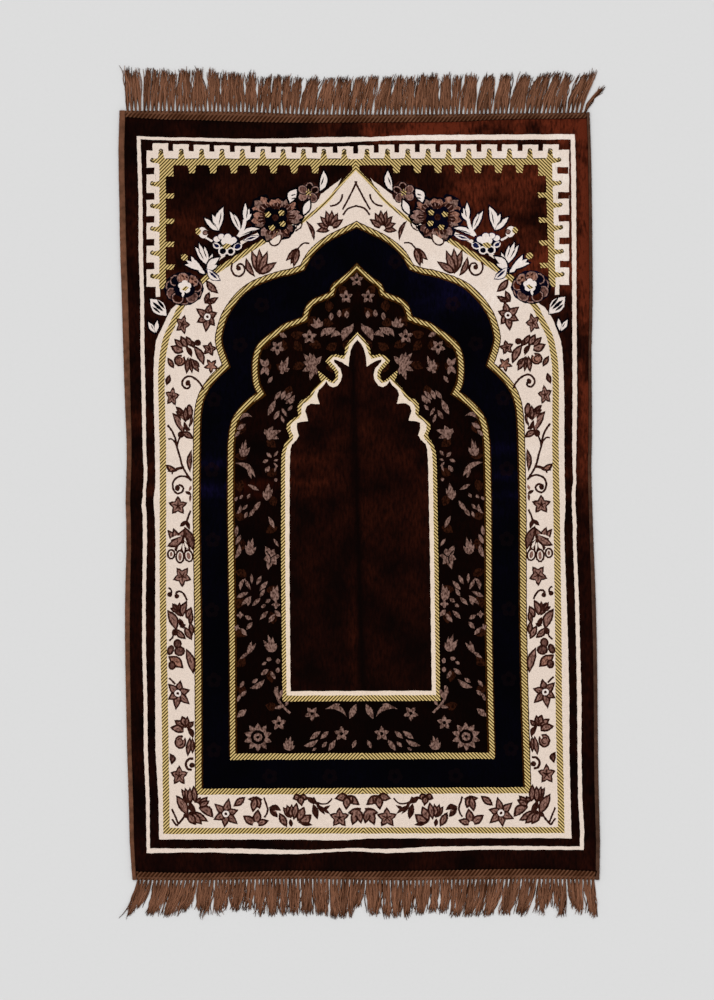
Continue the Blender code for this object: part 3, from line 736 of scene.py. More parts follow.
paint("cream", leaf((185, 734.6), (182.4, 740.6), 1.9))
stroke(1.3, (177.6, 739.6), (180, 738.6), (182.8, 740.6), (182.4, 744.2), (179.4, 745))
paint(SOOT, leaf((169.8, 753.6), (171.4, 763.8), 5.4, -0.24))
stroke(2.5, (193.6, 758.3), (188.8, 758.9), (186, 763.6), (187.8, 768.4), (192, 769.6))
paint(DARK, disc(192.2, 765, 2.6, 2.6))
blossom(179.4, 775.4, 9.8, 0, 0.88)
print("laid", len(cut_outs), "shapes")

# %% [markdown]
# Along the foot the corner holds the largest flower of the border. Then come a lily, buds
# and sprays, and a star flower beside the middle line, where the halves meet leaf to leaf.

# %% Cream border: along the foot
stroke(2.0, (172, 808.4), (175, 815), (178.2, 822.6))
stroke(1.9, (172.2, 818.8), (176.8, 825.4))
stroke(2.2, (176.8, 825.4), (182, 819.6), (185.6, 814))
paint(BROWN, leaf((187.6, 815), (176.6, 795.6), 9, 0.05),
      *fan((190.4, 803), 6.2, (181.8, 789), (185.4, 788), (190, 787.6)),
      leaf((195.4, 802.6), (193.8, 786), 6), leaf((197, 804), (200.4, 797.4), 4.6),
      leaf((198.6, 806), (207.4, 796.8), 5.6), leaf((198.6, 806.6), (209.2, 800.8), 6),
      leaf((198.6, 807.4), (213, 817.2), 8.6, -0.16),
      leaf((190.6, 811.4), (207.8, 820.8), 7), leaf((189.4, 812), (202, 823.6), 7.4),
      leaf((187.6, 812.6), (195.8, 824), 7.6))
paint("cream", disc(195.4, 806, 4.2, 3.6))
paint(DARK, leaf((189.6, 800.8), (196.6, 812.4), 6, 0.12), disc(185.8, 815.2, 2.4))
lily(226, 813.5, (214.8, 803.6), (229, 798.2), (237.8, 810), (237.4, 823.4), (224.8, 826.4),
     (214, 819.2))
paint(BROWN, leaf((234.2, 805.8), (245, 797), 6.6),
      leaf((262, 799.4), (248.6, 798.8), 5), leaf((256.6, 796.6), (259.6, 808), 6.6),
      leaf((255.6, 796.6), (253, 811.2), 6.8),
      leaf((256.4, 824.4), (243.8, 815.8), 7.8), leaf((255, 823.6), (268.2, 820.6), 6.4),
      leaf((256.2, 824), (258.2, 809.6), 7.8))
paint("cream", disc(255.8, 824.4, 2.7, 2.9))
stroke(1.9, (264, 797), (266, 803), (267.8, 808.6), (266.8, 813.4), (264.4, 817.2))
paint(DARK, leaf((268.8, 807.4), (281, 810.4), 5.4, -0.16), leaf((269.4, 808), (277.8, 817), 5.6))
paint("brown", leaf((273, 810.4), (277, 811.4), 1.6))
paint(BROWN, *fan((290.8, 817), 5.6, (283.4, 807), (287, 804.8), (291.8, 804.4)),
      leaf((286.6, 826), (279.6, 813), 6.8), leaf((299, 821.8), (311, 814.6), 9, 0.1),
      leaf((298, 820.8), (304, 807), 8), leaf((294, 819), (296.6, 803), 6.4))
paint(DARK, leaf((299.6, 822.8), (312.4, 824.6), 4), leaf((291.4, 826.4), (290.4, 818.8), 4))
paint(BROWN, *fan((300, 795.8), 6.6, (293.2, 798.4), (307.4, 798.6), (301.8, 805.2)))
paint(DARK, leaf((306.4, 796.6), (316.8, 803.6), 5.2), leaf((313.4, 803.6), (317.4, 819), 6.4),
      leaf((316.4, 804.6), (325, 814), 3.2), leaf((319.6, 805.6), (330, 813.6), 3.2),
      leaf((321.4, 810.4), (330.4, 805), 3))
stroke(2.6, (313, 797), (316.6, 803), (321.6, 809))
stroke(1.7, (316.6, 802), (322, 803.7), (328, 802.6), (332.2, 798))
paint(BROWN, *fan((347.4, 795.8), 7.8, (335.4, 798.2), (359.2, 804.4), (352.6, 802), (346.2, 809)))
blossom(339.4, 817.4, 9.8)
paint(BROWN, leaf((360.6, 808), (348.4, 812.4), 6.6, -0.1), leaf((357.8, 808.4), (352.4, 824.2), 8),
      leaf((358, 808), (361, 822.6), 7))
paint("brown", disc(356, 812.4, 3.2, 2.6, -20))
print("laid", len(cut_outs), "shapes")

# %% [markdown]
# Over each shoulder of the arch lies a bouquet. Its large flower has ragged petals, each three
# broad blades on a dark ground, so a petal is one helper that is turned to seven angles. The
# other blossoms are rings of discs with a rim of lighter yarn.

# %% Corner bouquets: blossoms
def ragged(middle, angle, near, far, width, yarns):
    """A ragged petal: three broad blades on a dark ground, the middle one longest. Its root is
    dark, with three pale streaks."""
    a = np.radians(angle)
    out, side = np.array([np.sin(a), -np.cos(a)]), np.array([np.cos(a), np.sin(a)])
    middle = np.array(middle, float)
    root = middle + near * out
    paint("night", leaf(root, middle + (far + 1.6) * out, 1.3 * width, 0, 1.4))
    for k, yarn in zip((-1, 1, 0), yarns):
        tip = middle + (far - 0.16 * abs(k) * (far - near)) * out + 0.36 * k * width * side
        paint(yarn, leaf(root + 0.10 * k * width * side, tip, 0.42 * width, 0, 1.7))
    paint("outline", leaf(root, root + 0.66 * (far - near) * out, 0.62 * width, 0, 0.9))
    for k in (-1, 0, 1):
        start = root + 0.24 * (far - near) * out + 0.16 * k * width * side
        tip = start + 0.38 * (far - near) * out + 0.1 * k * width * side
        paint("rosy", leaf(start, tip, 1.0))


FLOWER = (276, 218)
lay(((289, 227), (297, 221.6), (301, 222), (301, 228), (294, 233)), "cream")
stroke(1.4, (302.4, 223.6), (300.6, 228), (295.4, 231.6))
stroke(1.2, (297.4, 224.6), (296.2, 229.4))
for angle, far, width, yarns in (
    (-52, 27.6, 20, ("tan", "tan", "rose")), (7, 19.4, 18, ("tan", "rose", "tan")),
    (52, 25, 17, ("rose", "tan", "tan")), (88, 27.4, 14, ("rosy", "rose", "rosy")),
    (262, 25, 17, ("rose", "tan", "tan")), (202, 24.8, 19, ("tan", "rosy", "rose")),
    (147, 23, 19, ("petal", "rose", "petal")),
):
    ragged(FLOWER, angle, 8, far, width, yarns)
paint(TAN, leaf((282.6, 226), (288.6, 236), 5))
paint("night", disc(276, 219.4, 11.4, 10.4), *petals(276, 219, 10.4, 4.8, 4, 45))
paint("outline", disc(275.4, 218, 3.2, 3.4))
for column, row in ((267.9, 215), (281.7, 213.2), (282.6, 224.1), (271.9, 228)):
    lay(((column - 3.2, row - 1.2), (column + 1, row - 3), (column + 3.4, row - 0.6),
         (column + 1.4, row + 2.6), (column - 2, row + 2.6)), "gold")
lay(((270.2, 241.6), (273.4, 238.8), (277.6, 236), (280.8, 235.2), (280.4, 239.6), (278, 243.4),
     (274.6, 245.2), (271.2, 244.4)), "cream")
stroke(1.6, (269.4, 240.6), (270.6, 244.4), (274.6, 246), (279.2, 243.6), (281.4, 238),
       (280.8, 234.6))

# The small blossom and the one with dark petals: a rim round each petal, filled or not.
paint("outline", disc(310, 192.6, 11.4, 11))
for spot, fill, across in (((309.4, 187.4), "wine", 4.6), ((315, 190.4), "wine", 4.2),
                           ((312.6, 198), "petal", 4.8), ((303.2, 196.8), "brown", 4.6),
                           ((303, 190), "petal", 4.6)):
    angle = np.degrees(np.arctan2(spot[1] - 193.4, spot[0] - 308.8))
    paint(((-0.5, "night"), (0.5, "rosy"), (1.6, fill)), disc(*spot, across + 0.8, across, angle))
for angle in (-3, 66, 140, 239, 302):
    a = np.radians(angle)
    paint("gold", leaf((308.8, 193.4), (308.8 + 4 * np.sin(a), 193.4 - 4 * np.cos(a)), 1.3))
DARK_FLOWER = (184, 289)
paint("night", disc(*DARK_FLOWER, 20.4, 17.2), disc(181.6, 303, 4, 3.4))
for angle, fill in ((-75, "night"), (-38, "night"), (-118, "petal"), (178, "wine"), (-152, "wine"),
                    (110, "night"), (142, "petal"), (76, "wine"), (42, "tan"), (-4, "tan")):
    a = np.radians(angle)
    spot = (DARK_FLOWER[0] + 13.2 * np.sin(a), DARK_FLOWER[1] - 10.6 * np.cos(a))
    paint(((-0.6, "night"), (0.4, "rosy"), (1.6, fill)), disc(*spot, 6.6, 5.8, angle))
for spot in ((192.6, 279.4), (195.6, 282), (193, 284), (197.6, 278.6), (183, 276.4), (187, 277.6)):
    paint(DARK, leaf((spot[0] - 1.4, spot[1] - 1), (spot[0] + 1.4, spot[1] + 1), 1.5))
paint("night", disc(184.6, 289.8, 11, 8.4))
paint("pale", *petals(185, 287, 4.2, 3.0, 5, 0), disc(185, 287, 3.4))
lay(((181.6, 289.6), (186, 286.2), (189, 287.6), (185.4, 291.4)), "gold")
paint("pale", leaf((184, 291), (182.6, 297.6), 2.6))
print("laid", len(cut_outs), "shapes")

# %% [markdown]
# White leaves fill the gaps of the bouquet. They could have an outline each, as the brown
# ones do, but on the rug a whole sprig shares one dark surround, so all of its surrounds are
# laid first and its leaves after them. Thin dark streaks part the petals.

# %% Corner bouquets: white leaves
SURROUND = 1.7  # how far the dark surround stands out round white leaves


def sprig(*forms):
    """White leaves on one dark surround."""
    for layer in ((-SURROUND, "night"), (0, "pale")):
        paint((layer,), *forms)


def streaks(width, *lines):
    """Dark streaks of one width along white petals, each from its root to its tip."""
    paint("night", *(leaf(root, tip, width) for root, tip in lines))


paint("night", disc(227.4, 245.6, 14.4, 11))
paint(((0, "navy"), (0.7, "pale")), disc(217, 239.4, 4.2, 3.6), disc(221.6, 237, 4, 3.6),
      disc(233.4, 240.6, 4.2, 4), disc(227.8, 237.4, 4.4, 4))
paint("pale", disc(227.6, 241.6, 6.6, 4.8))
paint(((0, "pale"), (1.5, "night")), disc(223, 251.4, 4.8, 4.6), disc(230.8, 251.6, 4.4, 4.2))
paint(((0, "pale"), (1.3, "navy")), disc(216.6, 246, 4, 3, 30), disc(237.8, 247, 4.8, 3.4, -25))
paint("navy", leaf((213, 243), (219, 247.6), 1.5), leaf((234.6, 246), (241.6, 243.4), 1.5))
lay(((222.4, 246), (226, 243.6), (230.6, 244.4), (231, 247), (227.4, 249.6), (223.6, 248.8)),
    "gold")
sprig(leaf((218.6, 231), (223.4, 207.6), 8, -0.08), leaf((218, 231), (204.6, 218.4), 5.2),
      leaf((218, 231), (207.6, 223), 4.2), leaf((217, 226), (212.6, 215), 3.6))
streaks(1.2, ((219, 226), (221.6, 212)), ((216, 227), (209.6, 220)))
sprig(leaf((240.6, 232), (230, 212), 4.6), leaf((240.6, 232), (234.6, 214.6), 4.4),
      leaf((245, 222), (245.6, 203.6), 4.4), leaf((245, 222), (249.4, 209), 4.4),
      leaf((245, 222), (251.6, 214), 3.4), leaf((239, 238), (259.6, 229), 5, -0.12))
stroke(3.4, (245, 220), (243.4, 228), (238.4, 237), yarn="pale")
streaks(1.2, ((239, 228), (233.4, 216)), ((246.4, 219), (248, 208)), ((242, 235), (256, 230)))
paint(((0, "navy"), (0.8, "pale")), leaf((242.6, 241), (260.4, 236), 6))
paint("navy", leaf((245.6, 240), (256.6, 237), 2))
paint(((0, "outline"), (0.7, "pale")), disc(203, 233, 5.4, 6.6, -25))
paint("gold", disc(198.4, 231.6, 2.8, 3.4))
paint(((0, "outline"), (0.9, "rosy")), disc(205.4, 233, 2.8))
stroke(2.0, (206, 238), (209.6, 240), (212.6, 241.6), yarn="pale")
sprig(leaf((208, 266), (195.4, 247), 5), leaf((208, 266), (199, 243.4), 4.4),
      leaf((208, 264), (204.6, 247), 4.4), leaf((208.4, 268), (212.6, 254), 4))
streaks(1.1, ((204, 260), (198, 249)), ((207, 259), (203, 248)))
sprig(leaf((203, 269.6), (191.4, 256.6), 5, -0.1), leaf((202, 271), (185, 265), 5, 0.08),
      leaf((201, 270), (186.4, 260.6), 4), leaf((205, 274), (198, 269), 4),
      leaf((207, 271), (219.6, 258), 6.4, -0.1), leaf((206, 270), (217.6, 265.6), 5))
paint("gold", disc(184.6, 257.6, 3.8, 3.2, 30))
paint(((0, "navy"), (0.8, "pale")), leaf((206.6, 268.6), (221, 281), 9, 0.08))
paint("navy", leaf((209, 271.6), (218, 279.6), 2.4), leaf((211, 270.6), (220, 277), 1.6))
paint(((-0.8, "night"), (0, "pale")), leaf((166.6, 316), (150.4, 299), 13))
sprig(leaf((155, 333), (148.4, 322), 4.6), leaf((156, 333), (157.6, 320.6), 4))
streaks(3.4, ((163.6, 311.6), (152.4, 302)))
streaks(2.8, ((165.4, 309.6), (157, 299.6)))
streaks(2.4, ((160.6, 313.4), (152, 306.4)))
streaks(1.1, ((154, 330), (151, 325)))
sprig(leaf((320, 191), (323.6, 171), 7, 0.1), leaf((320, 191), (327, 180.6), 4.4),
      leaf((303.6, 215), (309.6, 200.6), 6.4), leaf((290, 203), (296.6, 189.6), 8.6, -0.1))
streaks(1.4, ((290.6, 196), (296, 194.6)), ((291, 199.4), (296.4, 198)), ((321, 186), (324, 177)))
print("laid", len(cut_outs), "shapes")

# %% [markdown]
# Inside the third arch, round the niche, the ground is a dark garden, strewn with single
# leaves, stars and buds in dusty rose. They have no outline: the rose yarn simply stops. The
# head of the arch is the richest part of it.

# %% Garden: the head
def rose(*forms, both=True):
    """Lays forms in rose yarn alone."""
    paint("rose", *forms, both=both)


for spot in ((356.6, 280, 0), (346, 297, 0), (368, 297, 0)):
    rose(star(*spot[:2], 7, spot[2]), both=False)
    paint("garden", disc(*spot[:2], 1.7), both=False)
for column, row, turn in ((309.5, 337, 0), (277.5, 348, 180), (279, 723, 0), (312, 713.5, 180),
                          (341.5, 733.5, 0)):
    rose(star(column, row, 7.6, turn))
    paint("garden", disc(column, row, 1.8))
rose(leaf((331, 320.6), (331.4, 312.6), 4.6), leaf((339, 317.6), (339.4, 310), 4.6),
     leaf((347, 318.6), (346.6, 311), 4.6))
rose(*fan((319, 327.6), 4.2, (310.6, 324.6), (313.6, 319), (318.4, 317.6), (323, 321.6)))
rose(leaf((321, 337), (329.6, 328), 5, -0.1), leaf((331, 337.6), (341.6, 335), 6, -0.3),
     leaf((326, 336), (335.6, 328), 5.6, -0.1), leaf((342.6, 341), (351, 326), 8, -0.1),
     leaf((347.6, 335.6), (353.4, 323.6), 4.6))
rose(leaf((279, 333.6), (287, 337.4), 4.6), leaf((283, 332.6), (284, 338), 3.4))
rose(*fan((314, 366), 5.4, (303.4, 353.6), (309.6, 353), (313.4, 354), (321.6, 356.4),
          (303, 362), (302.4, 371.4), (310, 380.6), (316.6, 375)), disc(313, 366, 5, 7))
paint("garden", disc(321, 367, 5, 3.6))
rose(*fan((283.6, 371), 4.4, (288.4, 356.6), (281.6, 360), (279, 365.6), (280.4, 373.6),
          (289.6, 368.6)))
rose(*fan((266, 367), 4.6, (260, 359), (267.6, 358.6), (268, 376), (260.6, 374.6)))
rose(leaf((268, 383.6), (272.6, 376.6), 3.6))
rose(leaf((274.6, 400), (281.2, 391), 4), leaf((281.6, 400), (285, 390.6), 4.4),
     leaf((284.6, 400.4), (292.4, 391.6), 4), leaf((289.6, 404.6), (294.6, 395.4), 4.6),
     leaf((286, 404), (290.4, 398.6), 3.2), leaf((275.6, 400), (268, 415.6), 5.6),
     leaf((279.4, 410.6), (274, 420), 4.4), leaf((292.6, 405.6), (288, 411), 3.2),
     leaf((281.6, 407.6), (287, 416.6), 3), leaf((281, 415), (284, 423.4), 3))
print("laid", len(cut_outs), "shapes")

# %% [markdown]
# Down the side the garden is a loose column of sprays. A spray is a fan of leaves from one
# root, and single leaves of a few tufts each stand round it.

# %% Garden: down the side
rose(leaf((240, 420.4), (252.4, 417), 4, -0.3), leaf((237, 429.6), (245.8, 423.8), 4.4),
     leaf((234.8, 437), (240.4, 430.6), 3.6))
rose(*fan((268, 434.6), 5.2, (273, 426.4), (281.4, 430.6), (279, 438.8), (270.4, 440.6),
          (264.6, 429.6)), disc(270, 434.6, 4, 4.6))
rose(*fan((243.6, 457), 4.2, (242.6, 442.4), (246, 439.6), (250, 447.6), (239.4, 448.6)))
rose(leaf((266.6, 452.6), (271.6, 457.6), 3.4), leaf((274, 456.6), (278, 451), 2.8),
     leaf((262.6, 462.4), (268.6, 460), 3.4), leaf((273.6, 461), (278.6, 459.6), 2),
     leaf((265.6, 472.6), (269.6, 466), 4.4), leaf((273.4, 462.6), (278, 467), 2),
     leaf((276.6, 465), (274.6, 472), 2), disc(276, 480, 1.7))
rose(leaf((235.4, 463), (255.4, 477.4), 5.2, -0.17),
     leaf((247.6, 467.6), (251.6, 478.6), 3.4), leaf((248, 484.6), (259, 490.4), 3.6))
rose(leaf((266.6, 500.6), (269, 483.4), 5.4), leaf((267, 500.6), (272.6, 489), 4),
     leaf((266.4, 500.6), (263.2, 491), 3.4), leaf((240, 499), (243, 495), 3),
     leaf((247.6, 498.6), (250, 493.8), 3), leaf((235, 501), (237.6, 497), 3))
rose(leaf((236, 514), (240.4, 504.6), 3.6, 0.2), leaf((242.6, 510), (247.6, 504.6), 3),
     leaf((244.6, 518.4), (247.4, 511.6), 3), leaf((249.2, 516.8), (254.8, 508.6), 4),
     leaf((253.2, 511.8), (260.4, 501.2), 4.6), leaf((268.6, 516.4), (274.6, 528.4), 4.2))
rose(leaf((236, 536.6), (237.4, 525.6), 3.6), leaf((236, 544.6), (241, 534.6), 4),
     leaf((235.4, 558.4), (239.6, 544.6), 4.6, 0.1))
rose(*fan((249.8, 555), 4.2, (253, 537.6), (248.6, 539.6), (245.4, 545), (256.4, 546.6),
          (253.4, 541)))
rose(leaf((273.6, 538.6), (279, 546.6), 3))
rose(*fan((271, 557), 6.2, (265.4, 546), (274, 549), (280, 556), (276.6, 564.6),
          (268, 569.6), (263.8, 560)), disc(271, 558, 5, 6))
stroke(1.1, (266, 551), (271, 557.6), (270, 564), yarn="garden")
stroke(1.1, (279, 552.6), (271, 557.6), yarn="garden")
rose(leaf((240.6, 590.6), (245.4, 578.4), 4, -0.15), leaf((245, 579), (250.8, 590), 3.4),
     leaf((252, 583.6), (251.6, 573.6), 2.8), leaf((256.6, 585), (261.4, 575.6), 4),
     leaf((259.6, 590.6), (267.6, 581), 4.4), leaf((260, 597), (264.8, 589), 3.6),
     leaf((236.4, 597.6), (248.4, 592), 4.2), leaf((241.6, 605), (251.4, 596), 4.2),
     leaf((247.6, 606), (250.6, 597), 3.6), leaf((252.6, 605.6), (260.6, 597.6), 4),
     leaf((265.6, 602.6), (270.6, 599), 3.8), leaf((261.4, 607.6), (265.6, 604.4), 3.6))
rose(*fan((275, 601), 4.4, (270.6, 590.6), (273.4, 586.4), (277.6, 584.4), (279, 593)))
rose(star(276, 604.6, 4.4, 0, 4), leaf((274.8, 610), (280.4, 616.6), 4.8),
     leaf((275, 614), (268.6, 622.6), 4.6), leaf((260, 619.4), (268, 611), 4.2),
     star(240.4, 615, 3.8, 0, 4), leaf((245, 615.6), (252, 619.6), 4),
     star(237, 627.6, 3.4, 20, 4), leaf((252.6, 622), (246.6, 629.4), 4.2),
     leaf((240.6, 628), (247, 635.6), 4))
rose(*fan((273, 652), 4.4, (268, 634.4), (272.6, 636.6), (263.4, 640), (264.4, 644.8),
          (276.4, 643)))
rose(leaf((239.6, 659), (249.6, 651.6), 3.2), leaf((247.6, 654), (251.6, 641.4), 3.6),
     leaf((248, 654), (256.2, 643), 3.6))
rose(disc(269, 659, 2.6, 2), leaf((262, 664.6), (266.6, 662), 3), disc(278, 661, 2, 2.6),
     leaf((261, 675), (268.6, 669), 4.6), leaf((270.6, 671), (275.4, 679), 3.8),
     disc(278, 670, 2, 2.6))
rose(leaf((250, 688), (264.6, 679.4), 5.4, 0.12), leaf((252, 683), (258, 678.6), 3.6),
     leaf((240, 687.6), (244.4, 680.6), 3.6), leaf((240.6, 696.4), (246.6, 690.6), 3.8),
     leaf((237.6, 701.6), (240.6, 693.6), 3))
print("laid", len(cut_outs), "shapes")

# %% [markdown]
# In each corner of the garden's foot stands a rayed flower, a ring of ten leaves round three
# discs, and a stem in rose comes down beside it. Leaves and buds fill the foot.

# %% Garden: along the foot
stroke(2.2, (277, 686), (277.6, 698), (283, 706), (290, 713), yarn="rose")
rose(leaf((277.4, 698), (275, 687), 4), leaf((278, 700), (283, 689), 4.4),
     leaf((284, 706), (274.6, 708), 3.6), leaf((285, 706), (288.6, 700.6), 3))
rose(leaf((237, 717), (246.6, 709), 6))
rose(*fan((258, 737), 6, *[(258 + 14.4 * np.sin(a), 737 - 14.4 * np.cos(a))
                         for a in np.radians(36 * np.arange(10))], belly=1.1))
paint("garden", disc(258, 737, 7.4))
rose(disc(258, 737, 4.4))
paint("garden", disc(258, 737, 1.6))
rose(*fan((288, 750), 4.2, (290.8, 736), (286.4, 737.6), (283.6, 742.6), (293.4, 740.4),
          (295, 745)))
rose(leaf((325, 709), (346.6, 716.6), 5, -0.25), leaf((331, 706), (340, 704), 3.4),
     leaf((349.4, 718.6), (356.4, 703.6), 6.4), leaf((310, 739), (320.6, 731), 5),
     leaf((320.6, 738.6), (328.6, 731), 4.6), leaf((328.6, 750.6), (335.6, 739.6), 5),
     leaf((303.6, 745.6), (318, 739.6), 5, 0.1), leaf((312.4, 750.4), (316.6, 747.6), 2.6),
     leaf((322, 747), (327, 741.6), 3.6), leaf((352.4, 748), (356, 739.6), 4))
print("laid", len(cut_outs), "shapes")

# %% [markdown]
# The night-blue band looks plain, but from nearby it shows round flowers that are hardly
# lighter than their ground. One ring of petals, turned by its own column, gives them all.

# %% Night band
for column, row in ((214, 400), (212, 470), (213, 540), (212, 610), (214, 680), (214, 750),
                    (240, 345), (262, 305), (318, 262), (270, 776), (330, 776)):
    paint("dusk", *petals(column, row, 5, 3.4, 5, column))
    paint("night", disc(column, row, 2.4))
print("laid", len(cut_outs), "shapes")

# %% [markdown]
# The cloth has been folded for sale, and three fold marks still stand up a little. They are
# smooth ridges, so the height of the pile over any place is one short formula.

# %% Folds
PILE_TOP = 4.0
Fold = namedtuple("Fold", "across place rise half")  # over the rug or along it, and sizes
FOLDS = (Fold(True, 57.0, 1.8, 13.0), Fold(True, -10.0, 1.5, 11.0), Fold(False, 2.0, 0.8, 9.0))
FOLD_FADE, FOLD_MARGIN = 45.0, 12.0  # a fold fades over this width, this far from the rims


def fold_rise(x, y):
    """How far the folds lift the cloth: squared cosine ridges that fade near the rims."""
    inside = np.minimum(x - edge(LEFT, y), edge(RIGHT, y) - x)
    inside = np.minimum(inside, np.minimum(edge(TOP, x) - y, y - edge(BOTTOM, x)))
    rise = np.zeros_like(x)
    for fold in FOLDS:
        away = np.abs((y if fold.across else x) - fold.place) / fold.half
        rise += fold.rise * np.cos(np.clip(away, 0, 1) * np.pi / 2) ** 2
    return rise * np.clip((inside - FOLD_MARGIN) / FOLD_FADE, 0, 1)


# %% [markdown]
# The cloth is one closed sheet: pile on top, a step down to the bare rims that go into the
# trims, and a plain back. All of its loops run round the rug with the same shares of each
# side, so neighbouring loops can be joined with quads.

# %% The loops round the cloth
STEP_RUN = 0.4  # the pile ends over this width
RIM_LIFT, RIM_IN = 0.8, 1.5  # the bare rim's rise, and how far inside the rug's edge it ends
SIDE_POINTS, END_POINTS = 180, 112
CORNER_ROUNDS = 8


def crossing(side, end, from_side, from_end):
    """The corner where a line beside a side meets one beside an end, by closing in on it."""
    x, y = float(side.edge[0]), float(end.edge[0])
    for _ in range(CORNER_ROUNDS):
        x, y = from_side(y), from_end(x)
    return np.array([x, y])


def loop(side_in, end_in, with_trim):
    """A loop round the rug, anticlockwise from the lower left corner, set in by two sizes."""
    def inset(line, place, amount):
        return amount + (trim(line, place) if with_trim else 0)

    def left(y):
        return edge(LEFT, y) + inset(LEFT, y, side_in)

    def right(y):
        return edge(RIGHT, y) - inset(RIGHT, y, side_in)

    def low(x):
        return edge(BOTTOM, x) + inset(BOTTOM, x, end_in)

    def high(x):
        return edge(TOP, x) - inset(TOP, x, end_in)

    a, b = crossing(LEFT, BOTTOM, left, low), crossing(RIGHT, BOTTOM, right, low)
    c, d = crossing(RIGHT, TOP, right, high), crossing(LEFT, TOP, left, high)
    s, t = np.arange(END_POINTS) / END_POINTS, np.arange(SIDE_POINTS) / SIDE_POINTS
    x1, y2 = a[0] + s * (b[0] - a[0]), b[1] + t * (c[1] - b[1])
    x3, y4 = c[0] + s * (d[0] - c[0]), d[1] + t * (a[1] - d[1])
    return np.concatenate([np.stack(p, axis=1) for p in
                           ((x1, low(x1)), (right(y2), y2), (x3, high(x3)), (left(y4), y4))])


pile_loop = loop(GAP + STEP_RUN, GAP + STEP_RUN, True)
foot_loop = loop(GAP, GAP, True)
rim_loop = loop(RIM_IN, TAPE_FOOT + GAP, False)
on_side = np.zeros(len(pile_loop), bool)
on_side[END_POINTS:END_POINTS + SIDE_POINTS] = True
on_side[2 * END_POINTS + SIDE_POINTS:] = True
rim_low = np.where(on_side, RIM_LIFT, 0.0)
print("loop of", len(pile_loop), "points")

# %% [markdown]
# The triangulation gets the loop, every cut-out and a lattice of loose points. The lattice
# lets the sheet bend over its folds, so its rows are closer there.

# %% Cutting the pattern into the sheet
LATTICE, BACK_LATTICE = 9.0, 32.0
LATTICE_HALF_X, LATTICE_HALF_Y = 345, 560
LATTICE_CLEAR = 3  # loose points stay this far from the border
FOLD_POINTS = 9
EDGE_STEP = 2.5  # squares between the points of a long edge


def tufted(points):
    """An outline as tufts draw it: its long edges get more points, and then every point moves
    by a sum of two sines of its place. The move never outruns the distance between points."""
    points = np.asarray(points, float)
    after = np.roll(points, -1, axis=0)
    parts = np.ceil(np.hypot(*(after - points).T) / EDGE_STEP).clip(1).astype(int)
    column, row = np.concatenate([a + (b - a) * np.arange(n)[:, None] / n
                                  for a, b, n in zip(points, after, parts)]).T
    aside = 0.16 * np.sin(2.1 * row + 0.9 * np.sin(0.5 * column))
    aside += 0.09 * np.sin(3.7 * row + 1.1 * column)
    up = 0.16 * np.sin(2.3 * column + 0.9 * np.sin(0.45 * row))
    up += 0.09 * np.sin(3.9 * column + 1.3 * row)
    return np.stack([column + aside, row + up], axis=1)


def lattice(step):
    """Loose points over the cloth: even rows and columns, and closer ones at the folds."""
    columns = np.arange(-LATTICE_HALF_X, LATTICE_HALF_X + 1, step)
    rows = np.arange(-LATTICE_HALF_Y, LATTICE_HALF_Y + 1, step)
    for fold in FOLDS:
        near = fold.place + fold.half * np.linspace(-1, 1, FOLD_POINTS)
        if fold.across:
            rows = np.sort(np.append(rows, near))
        else:
            columns = np.sort(np.append(columns, near))
    x, y = (a.ravel() for a in np.meshgrid(columns, rows))
    left, right = edge(LEFT, y) + trim(LEFT, y), edge(RIGHT, y) - trim(RIGHT, y)
    low, high = edge(BOTTOM, x) + trim(BOTTOM, x), edge(TOP, x) - trim(TOP, x)
    inside = (x > left + LATTICE_CLEAR) & (x < right - LATTICE_CLEAR)
    inside &= (y > low + LATTICE_CLEAR) & (y < high - LATTICE_CLEAR)
    return np.stack([x, y], axis=1)[inside]


def cut_sheet(border, shapes, loose):
    """Triangles over a border, and for each the number of the topmost shape over it."""
    polygons = [border, *shapes]
    counts = [len(p) for p in polygons]
    starts = np.concatenate([[0], np.cumsum(counts)])
    faces = [list(range(a, b)) for a, b in zip(starts[:-1], starts[1:])]
    points = np.concatenate([*polygons, loose])
    cut = delaunay_2d_cdt(points.tolist(), [], faces, 0, 1e-4, True)
    corners = [f for f, over in zip(cut[2], cut[5]) if over]
    topmost = np.array([max(over) for over in cut[5] if over]) - 1
    # Linear colours: the yarn in shade, and with the painted sheen of its lit pile. A gilt yarn is
    # two colours woven in fine slanting stripes, and a mottled one wanders between its two colours.
    rank = {old: new for new, olds in enumerate(cut[3]) for old in olds if old < len(border)}
    return (np.array([tuple(v) for v in cut[0]]), np.array(corners),
            topmost, np.array([rank[i] for i in range(len(border))]))


shapes = [turned(from_chart(tufted(points))) for points, _ in cut_outs]
top, top_faces, topmost, top_border = cut_sheet(pile_loop, shapes, lattice(LATTICE))
back, back_faces, _, back_border = cut_sheet(rim_loop, [], lattice(BACK_LATTICE))
print("pile:", len(top), "points,", len(top_faces), "triangles from", len(shapes), "shapes")

# %% [markdown]
# The top and the back are triangles now, and walls have to join them. The walls are rings of
# quads between the loops, which match point for point, so the sheet closes without doubles
# to merge. The back's border points are the lower rim's, and its own ones are left out.

# %% The sheet as a mesh
def anticlockwise(points, faces):
    """The triangles with their corners all the same way round, seen from above."""
    a, b, c = (points[faces[:, i]] for i in range(3))
    area = (b - a)[:, 0] * (c - a)[:, 1] - (b - a)[:, 1] * (c - a)[:, 0]
    return np.where(area[:, None] < 0, faces[:, ::-1], faces)


def make_mesh(name, points, faces):
    """An object whose mesh has these points, in millimetres, and faces, at the origin."""
    mesh = bpy.data.meshes.new(name)
    mesh.from_pydata((points * MM).tolist(), [], [f for part in faces for f in part.tolist()])
    mesh.validate()
    mesh.polygons.foreach_set("use_smooth", np.ones(len(mesh.polygons), bool))
    obj = bpy.data.objects.new(name, mesh)
    bpy.context.scene.collection.objects.link(obj)
    return obj


